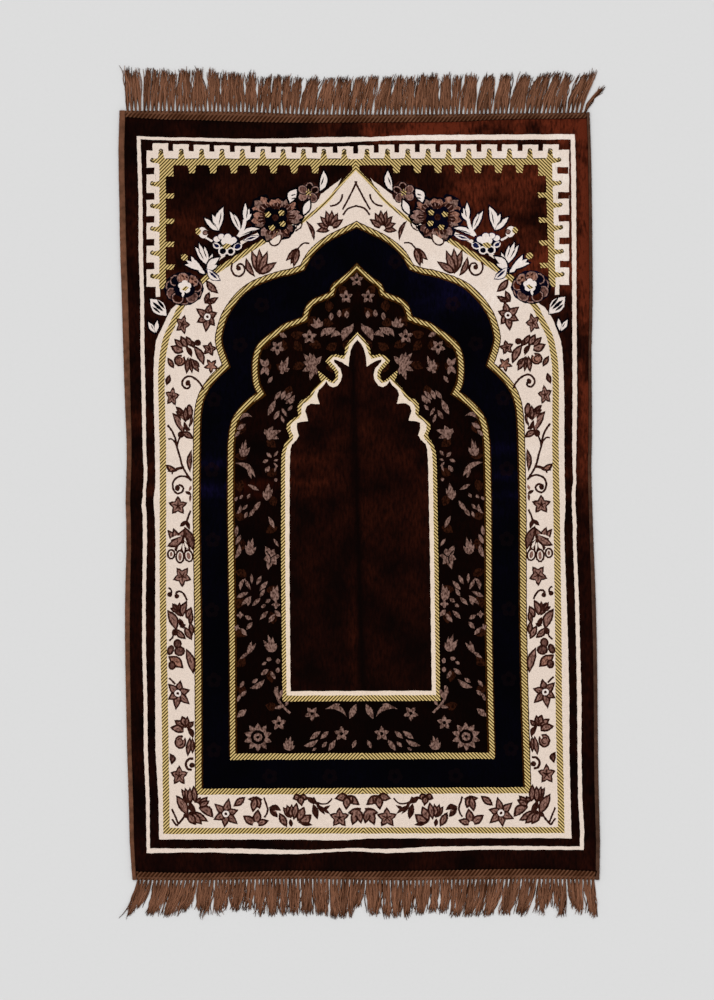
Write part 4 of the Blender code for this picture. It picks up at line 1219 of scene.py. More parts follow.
def give(obj, name, kind, domain, values):
    """Stores an array on the mesh as an attribute."""
    field = "color" if kind == "FLOAT_COLOR" else "vector" if kind == "FLOAT_VECTOR" else "value"
    layer = obj.data.attributes.new(name, kind, domain)
    layer.data.foreach_set(field, np.ascontiguousarray(values, np.float32).ravel())


def raised(plan, heights):
    """Plan points with a height each."""
    return np.column_stack([plan, np.broadcast_to(heights, len(plan))])


count = len(pile_loop)
foot_start = len(top)
rim_start, low_start = foot_start + count, foot_start + 2 * count
back_start = low_start + count
cloth_points = np.concatenate([
    raised(top, PILE_TOP + fold_rise(*top.T)),
    raised(foot_loop, rim_low + GROUND),
    raised(rim_loop, rim_low + GROUND),
    raised(rim_loop, rim_low),
    raised(back, fold_rise(*back.T)),
])
here, after = np.arange(count), (np.arange(count) + 1) % count


def skirt(inner, outer):
    """Quads between two loops, the first of them further in."""
    return np.stack([inner[here], outer[here], outer[after], inner[after]], axis=1)


top_faces = anticlockwise(top, top_faces)
back_faces = anticlockwise(back, back_faces)[:, ::-1]
# The back's own border points are the lower rim, so its faces use those instead.
to_rim = np.arange(len(back)) + back_start
to_rim[back_border] = low_start + here
skirts = [skirt(top_border, foot_start + here),
          skirt(foot_start + here, rim_start + here),
          skirt(rim_start + here, low_start + here)]
used = np.concatenate([np.arange(back_start), np.setdiff1d(to_rim, low_start + here)])
new_rank = np.full(len(cloth_points), -1)
new_rank[used] = np.arange(len(used))
cloth = make_mesh("pile_cloth", cloth_points[used],
                  [new_rank[f] for f in (top_faces, *skirts, to_rim[back_faces])])
print("cloth:", len(cloth.data.vertices), "points,", len(cloth.data.polygons), "faces")

# %% [markdown]
# The colours are stored on the corners of the faces, so that two yarns can meet without
# blending. The chart attribute holds each point's distance from the pattern's middle line
# and its height, which is what slanting gilt stripes follow on both halves.

# %% Yarn colours on the sheet
WALL_FACES = sum(len(s) for s in skirts)
yarn_of_shape = np.array([YARN_NAMES.index(yarn) for _, yarn in cut_outs] + [0])
face_yarn = np.concatenate([yarn_of_shape[topmost], np.zeros(WALL_FACES, int),
                            np.zeros(len(back_faces), int)])
corners = np.concatenate([np.full(len(top_faces), 3), np.full(WALL_FACES, 4),
                          np.full(len(back_faces), 3)])
table = np.array([(*YARNS[n].shade, YARNS[n].gilt) for n in YARN_NAMES])
lit_table = np.array([(*YARNS[n].bloom, YARNS[n].mottle) for n in YARN_NAMES])
give(cloth, "shade", "FLOAT_COLOR", "CORNER", np.repeat(table[face_yarn], corners, axis=0))
give(cloth, "bloom", "FLOAT_COLOR", "CORNER", np.repeat(lit_table[face_yarn], corners, axis=0))
plan = cloth_points[used]
column, row = to_chart(plan[:, 0], plan[:, 1])
middle = np.interp(row, LAY_ROWS, MIDDLES)
give(cloth, "chart", "FLOAT_VECTOR", "POINT",
     np.stack([(column - middle) * TUFT, plan[:, 1], plan[:, 0]], axis=1) * MM)


def hill(value, middle, half):
    """A hump of height 1: e to minus the square of the distance counted in half widths."""
    return np.exp(-(((value - middle) / half) ** 2))


def within(value, low, high, soft):
    """1 between two bounds and 0 beyond, with straight flanks."""
    rise, fall = (value - low) / soft + 0.5, (high - value) / soft + 0.5
    return np.clip(rise, 0, 1) * np.clip(fall, 0, 1)


# Painted sheen, where the brushed pile catches the light: how much, between which bounds across
# and along the rug, and over how many millimetres it fades there.
NAP_SHEEN_BASE = 0.07
ALL = (-1000, 1000, 1)
LIT_PLACES = (
    (0.02, ALL, (60, 330, 80)), (-0.032, ALL, (-600, -120, 160)),  # the field, from end to end
    (-0.03, ALL, (528, 600, 8)), (0.66, (-30, 400, 110), (528, 600, 8)),  # the upper border
    (0.27, (80, 320, 40), (280, 524, 30)), (0.18, (270, 320, 30), (280, 524, 30)),  # a corner
    (0.08, (-310, -240, 30), (290, 420, 60)),  # the other corner
    (0.01, (328, 380, 8), ALL), (0.74, (328, 380, 8), (60, 700, 200)),  # the right border
)
# Painted highlights where the cross folds catch the light: how much, height, rise across the
# rug, half width, and the middle, reach and share of the lit stretch on either side of the rug.
LIT_FOLDS = (
    (0.26, 56, 0.05, 7, (-215, 100, 1), (215, 100, 0.8)),
    (0.54, 18, 0.04, 6, (-200, 100, 1), (215, 100, 0.35)),
    (0.30, -2, 0, 5, (-205, 100, 1), (240, 80, 0.6)),
)
x, y = plan[:, 0], plan[:, 1]
nap_sheen = np.full(len(plan), NAP_SHEEN_BASE)
for amount, over_x, over_y in LIT_PLACES:
    nap_sheen += amount * within(x, *over_x) * within(y, *over_y)
for amount, height, rise, half, *stretches in LIT_FOLDS:
    lit = sum(share * hill(x, middle_x, reach) for middle_x, reach, share in stretches)
    nap_sheen += amount * hill(y, height + rise * x, half) * lit
# The long fold runs a little aslant. Painted shade darkens it, as the sheen there is taken away,
# and a faint painted highlight lies beside it.
crease = x + 9 - 0.032 * (50 - y)
nap_sheen *= 1 - 0.95 * hill(crease, 0, 6) * within(y, -320, 240, 60)
nap_sheen += 0.05 * hill(crease, -13, 7) * within(y, -320, -60, 60)
give(cloth, "nap_sheen", "FLOAT", "POINT", nap_sheen)
print("nap from", nap_sheen.min().round(2), "to", nap_sheen.max().round(2))

# %% [markdown]
# The baked model needs a flat map of the sheet. The top lies in one patch, with the walls
# spread out around it as if they were folded down, and the back lies beside it.

# %% A flat map for baking
def unrolled():
    """Plan places for the map: the loops of the wall are spread outwards in turn."""
    centre = pile_loop.mean(axis=0)
    out = np.sign(pile_loop - centre) * np.where(on_side[:, None], (1, 0), (0, 1))
    flat = plan[:, :2].copy()
    for start, spread in ((foot_start, 3), (rim_start, 12), (low_start, 15)):
        flat[start:start + count] = pile_loop + out * spread
    return flat


size = np.array([740.0, 1180.0])  # a little more than the cloth with its walls spread out
TOP_PART, TOP_AT = (0.60, 0.97), (0.01, 0.01)  # size and place of the top's patch on the map
BACK_PART, BACK_AT = (0.34, 0.54), (0.64, 0.01)
flat = (unrolled() + size / 2) / size
face_corners = np.empty(len(cloth.data.loops), np.int64)
cloth.data.loops.foreach_get("vertex_index", face_corners)
is_back = np.repeat(np.arange(len(corners)) >= len(top_faces) + WALL_FACES, corners)
uv = flat[face_corners] * TOP_PART + TOP_AT
back_flat = (plan[:, :2] + size / 2) / size
uv[is_back] = back_flat[face_corners[is_back]] * BACK_PART + BACK_AT
layer = cloth.data.uv_layers.new(name="OFBake")
layer.data.foreach_set("uv", uv.astype(np.float32).ravel())
print("map from", uv.min(axis=0).round(3), "to", uv.max(axis=0).round(3))

# %% [markdown]
# Every finish here is a small tree of shader nodes: noise or a wave, brought to a useful range
# and blended between two colours. A few helpers keep such a tree to some lines. A setting
# that is the same all over a piece goes straight on the shader, without a node.

# %% Helpers for materials
def new_material(name):
    """A material with its Principled shader: (material, add a node, link sockets)."""
    material = bpy.data.materials.new(name)
    material.use_nodes = True
    tree = material.node_tree

    def add(kind, operation=None, **values):
        node = tree.nodes.new(kind)
        if operation:
            node.operation = operation
        for key, value in values.items():
            name = key.replace("_", " ")
            if name in node.inputs:
                node.inputs[name].default_value = value
            else:
                setattr(node, key, value)
        return node

    return material, tree.nodes["Principled BSDF"], add, tree.links.new


def maths(add, link, operation, first, second):
    """A Math node of two values or sockets."""
    node = add("ShaderNodeMath", operation)
    for socket, value in zip(node.inputs, (first, second)):
        if isinstance(value, (int, float)):
            socket.default_value = value
        else:
            link(value, socket)
    return node.outputs[0]


def noise(add, link, place, scale, detail=2.0, stretch=(1, 1, 1)):
    """Noise over a place, stretched along its axes."""
    mapping = add("ShaderNodeMapping")
    mapping.inputs["Scale"].default_value = stretch
    link(place, mapping.inputs["Vector"])
    node = add("ShaderNodeTexNoise", Scale=scale, Detail=detail)
    link(mapping.outputs["Vector"], node.inputs["Vector"])
    return node.outputs["Fac"]


def ramp(add, link, value, low, high, to_low=0.0, to_high=1.0):
    """A clamped Map Range node."""
    node = add("ShaderNodeMapRange")
    for name, setting in (("From Min", low), ("From Max", high), ("To Min", to_low),
                          ("To Max", to_high)):
        node.inputs[name].default_value = setting
    link(value, node.inputs["Value"])
    return node.outputs["Result"]


def blended(add, link, factor, first, second, kind="MIX"):
    """A colour Mix node."""
    node = add("ShaderNodeMix", data_type="RGBA", blend_type=kind)
    for socket, value in ((node.inputs[0], factor), (node.inputs[6], first),
                          (node.inputs[7], second)):
        if isinstance(value, (int, float, tuple)):
            socket.default_value = value
        else:
            link(value, socket)
    return node.outputs[2]


def matt(link, shader, colour, roughness, gloss):
    """Takes the colour from a socket, and sets roughness and specular level on the shader."""
    link(colour, shader.inputs["Base Color"])
    shader.inputs["Roughness"].default_value = roughness
    shader.inputs["Specular IOR Level"].default_value = gloss


def bumped(add, link, shader, height, distance, strength=1.0):
    """Turns a height into bump on the shader."""
    node = add("ShaderNodeBump", Strength=strength, Distance=distance)
    link(height, node.inputs["Height"])
    link(node.outputs["Normal"], shader.inputs["Normal"])


print("helpers ready, and", len(bpy.data.materials), "materials so far")

# %% [markdown]
# Plush is made of cut tufts that stand up, so it has no gloss at all. The painted sheen of a
# brushed pile, darker or brighter in broad clouds and in short strokes, comes from the mesh and
# two noises. Fine noise is the tufts themselves. Gilt yarn is woven in slanting stripes: a sine
# of the way along the slant, the same on both halves because it starts from the pattern's middle.

# %% Plush pile
STRIPE = 0.0052  # metres along the rug from one gilt stripe to the next


def plush():
    """Yarn colours and painted sheen from the mesh; sheen clouds, gilt stripes and tufts from
    nodes.
    """
    material, shader, add, link = new_material("plush_pile")
    place = add("ShaderNodeTexCoord").outputs["Object"]
    shade = add("ShaderNodeAttribute", attribute_name="shade")
    bloom = add("ShaderNodeAttribute", attribute_name="bloom")
    nap_sheen = add("ShaderNodeAttribute", attribute_name="nap_sheen").outputs["Fac"]
    chart = add("ShaderNodeAttribute", attribute_name="chart").outputs["Vector"]
    # Painted sheen: the sheen from the mesh, made darker or brighter in broad clouds and short
    # strokes.
    clouds = ramp(add, link, noise(add, link, place, 16.0, 4.0), 0.36, 0.66, 0.2, 2.0)
    strokes = ramp(add, link, noise(add, link, place, 300.0, 3.0, (1, 0.3, 1)),
                   0.3, 0.7, 0.3, 1.7)
    nap_sheen = maths(add, link, "MULTIPLY", maths(add, link, "MULTIPLY", nap_sheen, clouds), strokes)
    nap_sheen = ramp(add, link, nap_sheen, 0.0, 1.0)

    split = add("ShaderNodeSeparateXYZ")
    link(chart, split.inputs[0])
    away = maths(add, link, "ABSOLUTE", split.outputs["X"], 0)
    slant = maths(add, link, "ADD", away, split.outputs["Y"])
    wave = maths(add, link, "SINE", maths(add, link, "MULTIPLY", slant, 2 * np.pi / STRIPE), 0)
    stripe = ramp(add, link, wave, -0.25, 0.25)
    fleck = ramp(add, link, noise(add, link, place, 420.0, 2.0, (1, 0.6, 1)), 0.36, 0.62)
    # A plain yarn goes from its colour in shade towards its painted sheen, a mottled one by flecks,
    # a gilt one by stripes.
    factor = blended(add, link, bloom.outputs["Alpha"], nap_sheen, fleck)
    factor = blended(add, link, shade.outputs["Alpha"], factor, stripe)
    colour = blended(add, link, factor, shade.outputs["Color"], bloom.outputs["Color"])
    tufts = noise(add, link, place, 800.0, 1.0)
    speckle = ramp(add, link, tufts, 0.3, 0.7, 0.82, 1.12)
    grey = add("ShaderNodeCombineXYZ")
    for socket in grey.inputs:
        link(speckle, socket)
    colour = blended(add, link, 1.0, colour, grey.outputs[0], "MULTIPLY")
    matt(link, shader, colour, 0.95, 0.0)
    bumped(add, link, shader, tufts, 0.0008, 0.6)
    return material


cloth.data.materials.append(plush())
print("a gilt stripe every", round(STRIPE / MM, 1), "mm")
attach(cloth, "root")
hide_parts("rug_cloth")

# %% [markdown]
# Thread is whipped over each long edge, turn beside turn. A binding is its U-shaped outline
# carried down the edge. Each turn of thread is a small bulge of that outline, a little later
# round the section than at its start, so the turns slant.

# %% The two bindings
THREAD_PITCH = 1.7
TURN_STEPS = 4  # sections of the mesh for each turn of the thread
WRAP_UNDER, WRAP_OUTER, WRAP_CROWN = 0.5, 1.2, 4.3
WRAP_SLOT = RIM_LIFT + GROUND + GAP  # top of the slot that takes the rim of the cloth
BULGE, BULGE_IN, TURN_SLANT = 0.34, 0.35, 0.9
BULGE_ABOVE = 1.2  # points lower than this keep their height
# The section, point by point: how far in from the edge, as a share of the binding's width and
# as millimetres more, its height, how much of the thread's bulge it takes and how late in the
# turn it comes. The slot faces the cloth.
WrapPoint = namedtuple("WrapPoint", "share inset height bulge slant", defaults=(0.0, 0.0))
WRAP_SECTION = (
    WrapPoint(0, 0.7, 0), WrapPoint(0.5, 0, 0), WrapPoint(1, 0, 0), WrapPoint(1, 0, WRAP_UNDER),
    WrapPoint(0, WRAP_OUTER, WRAP_UNDER), WrapPoint(0, WRAP_OUTER, WRAP_SLOT),
    WrapPoint(1, 0, WRAP_SLOT), WrapPoint(1, 0, WRAP_CROWN - 0.7, 0.5, 1.0),
    WrapPoint(0.8, 0, WRAP_CROWN - 0.1, 1, 0.8), WrapPoint(0.55, 0, WRAP_CROWN, 1, 0.55),
    WrapPoint(0.3, 0, WRAP_CROWN - 0.3, 1, 0.3), WrapPoint(0.1, 0, WRAP_CROWN - 0.9, 1, 0.1),
    WrapPoint(0, 0, WRAP_SLOT - 0.3, 1), WrapPoint(0, 0, 0.9, 0.6),
)


def tube_faces(index):
    """Quads round tubes: the last axis of the numbers runs round a ring, the one before it
    from ring to ring."""
    a, b = index[..., :-1, :], index[..., 1:, :]
    return np.stack([a, np.roll(a, -1, -1), np.roll(b, -1, -1), b], axis=-1).reshape(-1, 4)


def binding(name, line, inward):
    """The section at every quarter turn of the thread. A cosine of the way along, later round
    the section, gives the bulge of the turns, and two slow sines make it uneven."""
    share, inset, height, bulging, slant = np.array(WRAP_SECTION, float).T
    low, high = line.place.min(), line.place.max()
    sections = int((high - low) / THREAD_PITCH * TURN_STEPS)
    y = np.linspace(low, high, sections)[:, None]
    turn = 2 * np.pi * (y / THREAD_PITCH + TURN_SLANT * slant)
    uneven = 0.12 * np.sin(y * 0.31) + 0.08 * np.sin(y * 0.83 + 1)
    bulge = bulging * (BULGE * np.cos(turn) + uneven - 0.2)
    depth = share * trim(line, y) + inset - BULGE_IN * bulge * (slant < 0.3)
    height = height + bulge * (height > BULGE_ABOVE)
    x = edge(line, y) + inward * depth
    points = np.stack([x, np.broadcast_to(y, x.shape), height], axis=2)
    index = np.arange(height.size).reshape(height.shape)
    quads = tube_faces(index)
    caps = [index[:1, ::-1], index[-1:]]
    if inward < 0:
        quads, caps = quads[:, ::-1], [c[:, ::-1] for c in caps]
    obj = make_mesh(name, points.reshape(-1, 3), [quads, *caps])
    print(name, len(obj.data.polygons), "faces")
    return obj


def thread(name, dark, light):
    """Matt thread: its colour wanders along the edge, with fine fibres in it."""
    material, shader, add, link = new_material(name)
    place = add("ShaderNodeTexCoord").outputs["Object"]
    wander = noise(add, link, place, 90.0, 3.0)
    fibre = noise(add, link, place, 1500.0, 2.0, (1, 0.4, 1))
    factor = maths(add, link, "ADD", ramp(add, link, wander, 0.3, 0.7, 0.0, 0.7),
                   ramp(add, link, fibre, 0.3, 0.7, 0.0, 0.3))
    colour = blended(add, link, factor, (*dark, 1), (*light, 1))
    matt(link, shader, colour, 0.9, 0.15)
    bumped(add, link, shader, fibre, 0.0003, 0.6)
    return material


for name, line, inward, slot, dark, light in (
    ("whipped_edge_left", LEFT, 1, "left_thread", (0.065, 0.026, 0.012), (0.20, 0.080, 0.042)),
    ("whipped_edge_right", RIGHT, -1, "right_thread", (0.035, 0.016, 0.009), (0.105, 0.048, 0.028)),
):
    obj = binding(name, line, inward)
    obj.data.materials.append(thread(slot + "_matt", dark, light))
    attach(obj, "root")
    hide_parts("binding_left" if inward > 0 else "binding_right")

# %% [markdown]
# A heading is a woven tape sewn over the end of the cloth: a thin row next to the fringe and
# a row of slanting ribs beside the pile. It is one height over a grid: a table gives the
# height across the tape, and the gaps between the ribs go down from it by a sine.

# %% Headings
STRANDS = 112
RIB_STEPS = 6
TAPE_SHARES = np.array([0, 0.05, 0.14, 0.22, 0.27, 0.31, 0.38, 0.5, 0.62, 0.75, 0.87, 0.96, 1.0])
TAPE_HEIGHTS = np.array([1.5, 2.3, 2.75, 2.6, 2.1, 1.9, 3.1, 4.4, 4.9, 4.8, 4.3, 3.6, 2.9])
RIB_DEPTHS = np.array([0.3, 0.5, 0.5, 0.4, 0.1, 0.1, 0.6, 1.0, 1.1, 1.1, 1.0, 0.7, 0.3])
RIB_SLANT, RIB_PITCH = 0.8, 6.1  # a rib leans by this share of the depth below it
# The tape's own tone, and how much painted shade darkens the gaps between its ribs.
TAPE_TONE, GAP_SHADE = 0.43, 1.0
TOOTH = 1.4  # how far the gaps between the ribs draw back from the pile


def heading(line, outward):
    """Points and faces of one heading: the ribbed top, its walls and its underside. The top's
    height is a table's, less a second table's depth times one minus the sine of the rib."""
    level = float(np.mean(line.edge))
    start = edge(LEFT, level) + trim(LEFT, level) + GAP
    end = edge(RIGHT, level) - trim(RIGHT, level) - GAP
    along = np.linspace(start, end, STRANDS * RIB_STEPS + 1)[None, :]
    share = TAPE_SHARES[:, None]
    depth = share * trim(line, along)
    rib = (along - start) / (end - start) * STRANDS + outward * RIB_SLANT * depth / RIB_PITCH
    fat = np.abs(np.sin(np.pi * rib))
    depth = depth - TOOTH * share**6 * (1 - fat)
    height = TAPE_HEIGHTS[:, None] - RIB_DEPTHS[:, None] * (1 - fat)
    top_side = np.stack(np.broadcast_arrays(along, edge(line, along) - outward * depth, height), 2)
    # Painted shade: the gaps between the ribs are darker, the deeper the darker, and the underside
    # is set to 0.
    tone_and_shade = TAPE_TONE - GAP_SHADE * RIB_DEPTHS[:, None] * (1 - fat)
    under = top_side[[0, 4, 4, -1]].copy()  # outer foot, the step over the rim, and the lip
    foot = edge(line, along[0]) - outward * TAPE_FOOT
    under[1:3, :, 1] = foot
    under[:, :, 2] = np.array([0, 0, GROUND + GAP, GROUND + GAP])[:, None]
    grid = np.concatenate([top_side, under[::-1]])
    tone_and_shade = np.concatenate([tone_and_shade, np.zeros(under.shape[:2])]).ravel()
    rows, columns = grid.shape[:2]
    index = np.arange(rows * columns).reshape(rows, columns)
    a, b = index, np.roll(index, -1, axis=0)
    quads = np.stack([a[:, :-1], a[:, 1:], b[:, 1:], b[:, :-1]], axis=2).reshape(-1, 4)
    caps = [index[:, 0][None, :], index[::-1, -1][None, :]]
    if outward > 0:
        quads, caps = quads[:, ::-1], [c[:, ::-1] for c in caps]
    return grid.reshape(-1, 3), [quads, *caps], tone_and_shade, (start, end)


print("ribs in a heading:", STRANDS)

# %% [markdown]
# The fringe is cut yarn. Its yarns leave the heading in small strands, one to a rib, and use
# has combed the strands into clumps, so a table says where each clump's ends lie. Hair curves
# would draw them too, but tubes of four sides keep their thickness in the exported mesh.

# %% Fringe yarns
Clump = namedtuple("Clump", "strands first last reach_first reach_last")
TOP_REACH, BOTTOM_REACH = 63.0, 54.0
TOP_CLUMPS = tuple(Clump(*c) for c in (
    (3, -362, -337, 69, 58), (4, -326, -313, 66, 64), (4, -305, -286, 66, 61),
    (4, -280, -263, 61, 66), (6, -257, -233, 64, 66), (8, -217, -182, 61, 61),
    (3, -170, -158, 62, 57), (8, -146, -107, 56, 60), (5, -98, -64, 57, 57),
    (8, -55, -23, 56, 59), (6, -13, 19, 56, 61), (7, 28, 58, 57, 61), (8, 64, 102, 57, 63),
    (10, 108, 169, 61, 61), (10, 176, 236, 60, 61), (5, 247, 272, 57, 60),
    (8, 279, 316, 64, 60), (3, 323, 346, 61, 60), (1, 361, 361, 66, 66), (1, 386, 386, 40, 40),
))
BOTTOM_CLUMPS = tuple(Clump(*c) for c in (
    (2, -358, -350, 58, 55), (2, -344, -332, 46, 44), (4, -324, -307, 55, 54),
    (5, -300, -278, 56, 56), (5, -272, -239, 48, 47), (3, -227, -217, 58, 51),
    (9, -211, -164, 49, 49), (9, -153, -101, 56, 56), (8, -95, -51, 55, 56),
    (6, -45, -22, 61, 59), (3, -16, -2, 42, 43), (5, 7, 35, 52, 57), (6, 42, 69, 58, 57),
    (10, 75, 127, 53, 50), (10, 133, 181, 57, 57), (11, 187, 250, 56, 55),
    (2, 256, 268, 53, 55), (3, 274, 284, 45, 46), (2, 299, 307, 58, 59),
    (3, 313, 328, 47, 50), (3, 334, 344, 55, 54), (1, 357, 357, 60, 60),
))
# A strand leans from its root to its place in the clump: shares of its reach, and of the lean.
LEAN_SHARES, LEANS = (0, 0.33, 0.67, 1, 1.4), (0, 0.20, 0.58, 1, 1.51)
YARNS_EACH = 15
YARN_STOPS = np.linspace(0, 1, 11)
YARN_RADII = 0.66 * np.minimum(1, 1.7 - 1.3 * YARN_STOPS**3)
YARN_SIDES = 4
LOCKS = (2, 5)  # a lock holds two to four strands
LOCK_PULL = 0.6  # how far the tips are drawn to the middle of their lock
SPREAD = 3.2  # a strand's yarns spread this far to either side
WANDER, FRAY = 1.75, 2.7  # how unevenly yarns run, and how much more near their tips
ENDS = (-1.5, 1.9)  # mean and spread of the yarns' ends round the reach of their clump
WAVES, SWAYS = (0.7, 2.2), (0.4, 1.9)  # waves along a yarn, and how wide they are
SHORTEST = 14  # the shortest yarns end this far before the others
TUCK = 1.2  # the yarns begin this far inside the heading
FLOOR_LEVEL = 0.62  # the lowest height of a yarn's middle


def fringe_yarns(line, outward, clumps, usual, root_half, span, seed):
    """Tubes along the yarns of one fringe. A yarn starts at its strand's root, within half a
    root's width, leans to its clump by a table, spreads, and wavers by sines and by chance."""
    chance = np.random.default_rng(seed)
    places = np.concatenate([np.linspace(c.first, c.last, c.strands) for c in clumps])
    reaches = np.concatenate([np.linspace(c.reach_first, c.reach_last, c.strands) for c in clumps])
    root = span[0] + (span[1] - span[0]) * (np.arange(STRANDS) + 0.5) / STRANDS
    lock = np.minimum(np.cumsum(chance.integers(*LOCKS, STRANDS)), STRANDS)
    lock = np.searchsorted(lock, np.arange(STRANDS), side="right")
    drawn = np.array([places[lock == k].mean() for k in lock]) - places
    shape = (STRANDS, YARNS_EACH, 1)
    across = chance.uniform(-1, 1, shape)
    reach = reaches[:, None, None] + chance.normal(*ENDS, shape)
    reach -= chance.random(shape) ** 4 * SHORTEST
    phase = chance.uniform(0, 2 * np.pi, (3, *shape))
    waves, sway = chance.uniform(*WAVES, shape), chance.uniform(*SWAYS, shape)
    layer = chance.uniform(0, 1, shape)
    t = YARN_STOPS
    out = t * reach
    lean = np.interp(out / usual, LEAN_SHARES, LEANS)
    x = root[:, None, None] + (places - root)[:, None, None] * lean
    spread = np.clip((t - 0.06) / 0.3, 0, 1) ** 1.3
    x = x + across * (root_half + (SPREAD - root_half) * spread)
    x = x + LOCK_PULL * drawn[:, None, None] * t**1.6
    x = x + chance.normal(0, WANDER, shape) * t**1.2
    x = x + chance.normal(0, FRAY, shape) * np.clip((t - 0.55) / 0.45, 0, 1) ** 2
    x = x + sway * np.sin(2 * np.pi * waves * t + phase[0]) * np.minimum(2 * t, 1)
    y = edge(line, root)[:, None, None] + outward * (out - TUCK)
    y = y + 0 * x + 1.2 * np.sin(2 * np.pi * waves * t + phase[2]) * t
    lift = 0.7 + layer * (1.6 - 0.6 * t) + 0.3 * np.sin(5 * t + phase[1])
    path = np.stack([x, y, np.maximum(lift, FLOOR_LEVEL)], axis=3).reshape(-1, len(t), 3)
    run = np.gradient(path[..., :2], axis=1)
    run /= np.hypot(run[..., 0], run[..., 1])[..., None]
    side = np.stack([-run[..., 1], run[..., 0], 0 * run[..., 0]], axis=2)
    turn = 2 * np.pi * np.arange(YARN_SIDES) / YARN_SIDES
    ring = (np.cos(turn)[:, None] * side[:, :, None, :]
            + np.sin(turn)[:, None] * np.array([0, 0, 1.0])) * YARN_RADII[None, :, None, None]
    points = (path[:, :, None, :] + ring).reshape(-1, 3)
    index = np.arange(len(points)).reshape(len(path), len(t), YARN_SIDES)
    quads = tube_faces(index)[:, ::-1]
    caps = [index[:, 0, :], index[:, -1, ::-1]]
    # Each yarn's tone differs at random, and painted shade lowers it, and so darkens it, for
    # low yarns, near the roots, towards the tips and on the sides of each strand.
    tone_and_shade = 0.6 * layer + chance.uniform(-0.1, 0.6, shape) - 0.2 * across**2
    tone_and_shade = tone_and_shade - 0.25 * (1 - np.minimum(3 * t, 1)) - 0.3 * np.clip((t - 0.8) / 0.2, 0, 1)
    tone_and_shade = np.repeat(tone_and_shade.ravel(), YARN_SIDES)
    return points, [quads, *caps], tone_and_shade


def fringe(name, line, outward, clumps, usual, root_half, seed):
    """Heading and yarns of one end, joined in one mesh."""
    tape, tape_faces, tape_tone_and_shade, span = heading(line, outward)
    yarns, yarn_faces, tone_and_shade = fringe_yarns(line, outward, clumps, usual, root_half, span, seed)
    obj = make_mesh(name, np.concatenate([tape, yarns]),
                    [*tape_faces, *(f + len(tape) for f in yarn_faces)])
    give(obj, "tone_and_shade", "FLOAT", "POINT", np.concatenate([tape_tone_and_shade, tone_and_shade]))
    print(name, sum(len(p.vertices) - 2 for p in obj.data.polygons), "triangles")
    return obj


def fringe_finish():
    """Soft brown yarn: its own tone per yarn, painted shade on low yarns, roots, tips and rib gaps,
    and fibres along it.
    """
    material, shader, add, link = new_material("fringe_yarn_soft")
    place = add("ShaderNodeTexCoord").outputs["Object"]
    tone_and_shade = add("ShaderNodeAttribute", attribute_name="tone_and_shade").outputs["Fac"]
    fibre = noise(add, link, place, 900.0, 2.0, (1, 0.25, 1))
    patches = noise(add, link, place, 35.0, 2.0)
    factor = maths(add, link, "ADD", maths(add, link, "MULTIPLY", tone_and_shade, 0.7),
                   ramp(add, link, patches, 0.35, 0.65, 0.0, 0.16))
    factor = ramp(add, link, factor, 0.1, 0.86)
    colour = blended(add, link, factor, (0.036, 0.0105, 0.0030, 1), (0.315, 0.141, 0.079, 1))
    matt(link, shader, colour, 0.9, 0.05)
    bumped(add, link, shader, fibre, 0.0003, 0.5)
    return material


soft_yarn = fringe_finish()
for name, node, line, outward, clumps, usual, root_half, seed in (
    ("fringed_heading_top", "fringe_top", TOP, 1, TOP_CLUMPS, TOP_REACH, 1.25, 3),
    ("fringed_heading_bottom", "fringe_bottom", BOTTOM, -1, BOTTOM_CLUMPS, BOTTOM_REACH, 1.6, 4),
):
    obj = fringe(name, line, outward, clumps, usual, root_half, seed)
    obj.data.materials.append(soft_yarn)
    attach(obj, "root")
    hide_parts(node)

# %% [markdown]
# The photograph is a studio one from straight above, on a light ground and nearly without
# shadow. An even pale world gives that, and one wide lamp shows the relief of the yarns.

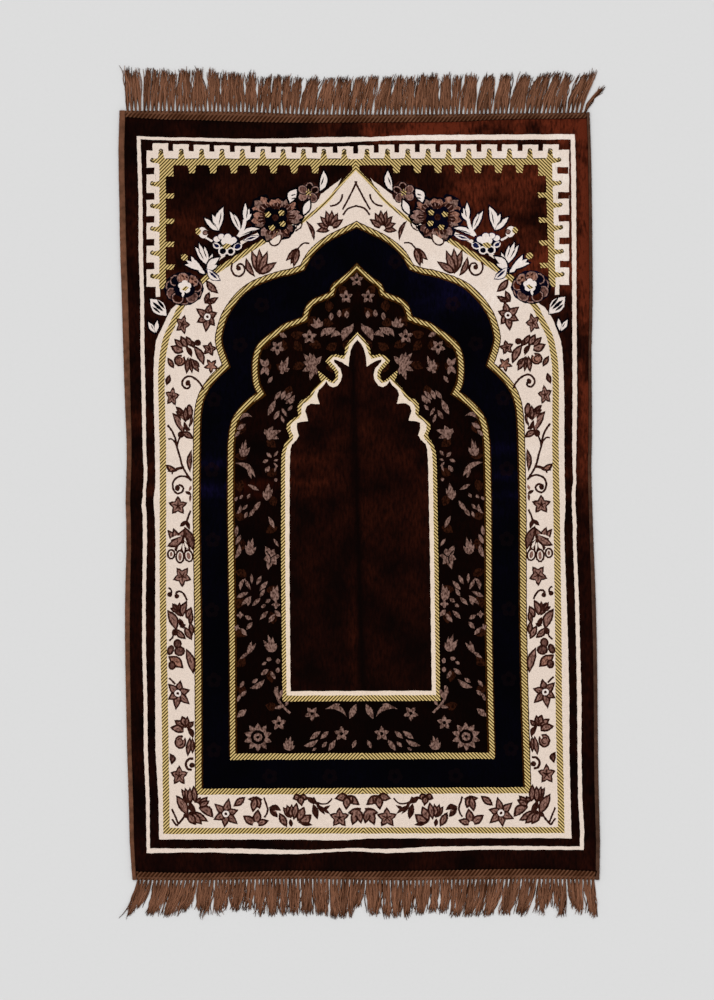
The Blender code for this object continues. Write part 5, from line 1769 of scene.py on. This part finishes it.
# %% Floor, light and camera
FRAME_WIDTH, FRAME_HEIGHT = 714, 1000  # the photograph's frame, in chart squares
LENS, SENSOR = 85.0, 36.0
SKY_STRENGTH = 0.82
LAMP_STRENGTH, LAMP_SPREAD, LAMP_TILT = 0.70, 25.0, (-28.0, -26.0, 0.0)  # angles in degrees
FLOOR_HALF, FLOOR_HEIGHT = 6000.0, -0.02
PAPER_DARK, PAPER_LIGHT = (0.715, 0.715, 0.715, 1), (0.735, 0.735, 0.735, 1)


def floor_sheet():
    """A wide plain ground just under the rug, with a faint grain."""
    signs = np.array([(-1, -1), (1, -1), (1, 1), (-1, 1)])
    points = raised(signs * FLOOR_HALF, FLOOR_HEIGHT)
    obj = make_mesh("studio_floor", points, [np.array([[0, 1, 2, 3]])])
    material, shader, add, link = new_material("studio_paper")
    place = add("ShaderNodeTexCoord").outputs["Object"]
    grain = noise(add, link, place, 200.0, 2.0)
    colour = blended(add, link, grain, PAPER_DARK, PAPER_LIGHT)
    matt(link, shader, colour, 1.0, 0.0)
    obj.data.materials.append(material)
    return obj


floor = floor_sheet()
world = bpy.context.scene.world or bpy.data.worlds.new("studio")
bpy.context.scene.world = world
world.use_nodes = True
background = world.node_tree.nodes["Background"]
background.inputs["Color"].default_value = (1.0, 1.0, 1.0, 1.0)
background.inputs["Strength"].default_value = SKY_STRENGTH

lamp_data = bpy.data.lights.new("far_lamp", "SUN")
lamp_data.angle = np.radians(LAMP_SPREAD)
lamp_data.energy = LAMP_STRENGTH
lamp = bpy.data.objects.new("far_lamp", lamp_data)
lamp.rotation_euler = np.radians(LAMP_TILT).tolist()
bpy.context.scene.collection.objects.link(lamp)

camera_data = bpy.data.cameras.new("photo_camera")
camera_data.lens, camera_data.sensor_width = LENS, SENSOR
camera = bpy.data.objects.new("photo_camera", camera_data)
centre = from_chart([(FRAME_WIDTH / 2, FRAME_HEIGHT / 2)])[0] * MM
distance = FRAME_HEIGHT * TUFT * MM * LENS / SENSOR
camera.location = (centre[0], centre[1], distance)
bpy.context.scene.collection.objects.link(camera)
bpy.context.scene.camera = camera
bpy.context.scene.view_settings.view_transform = "Standard"
print("camera", round(distance, 3), "m above the floor")
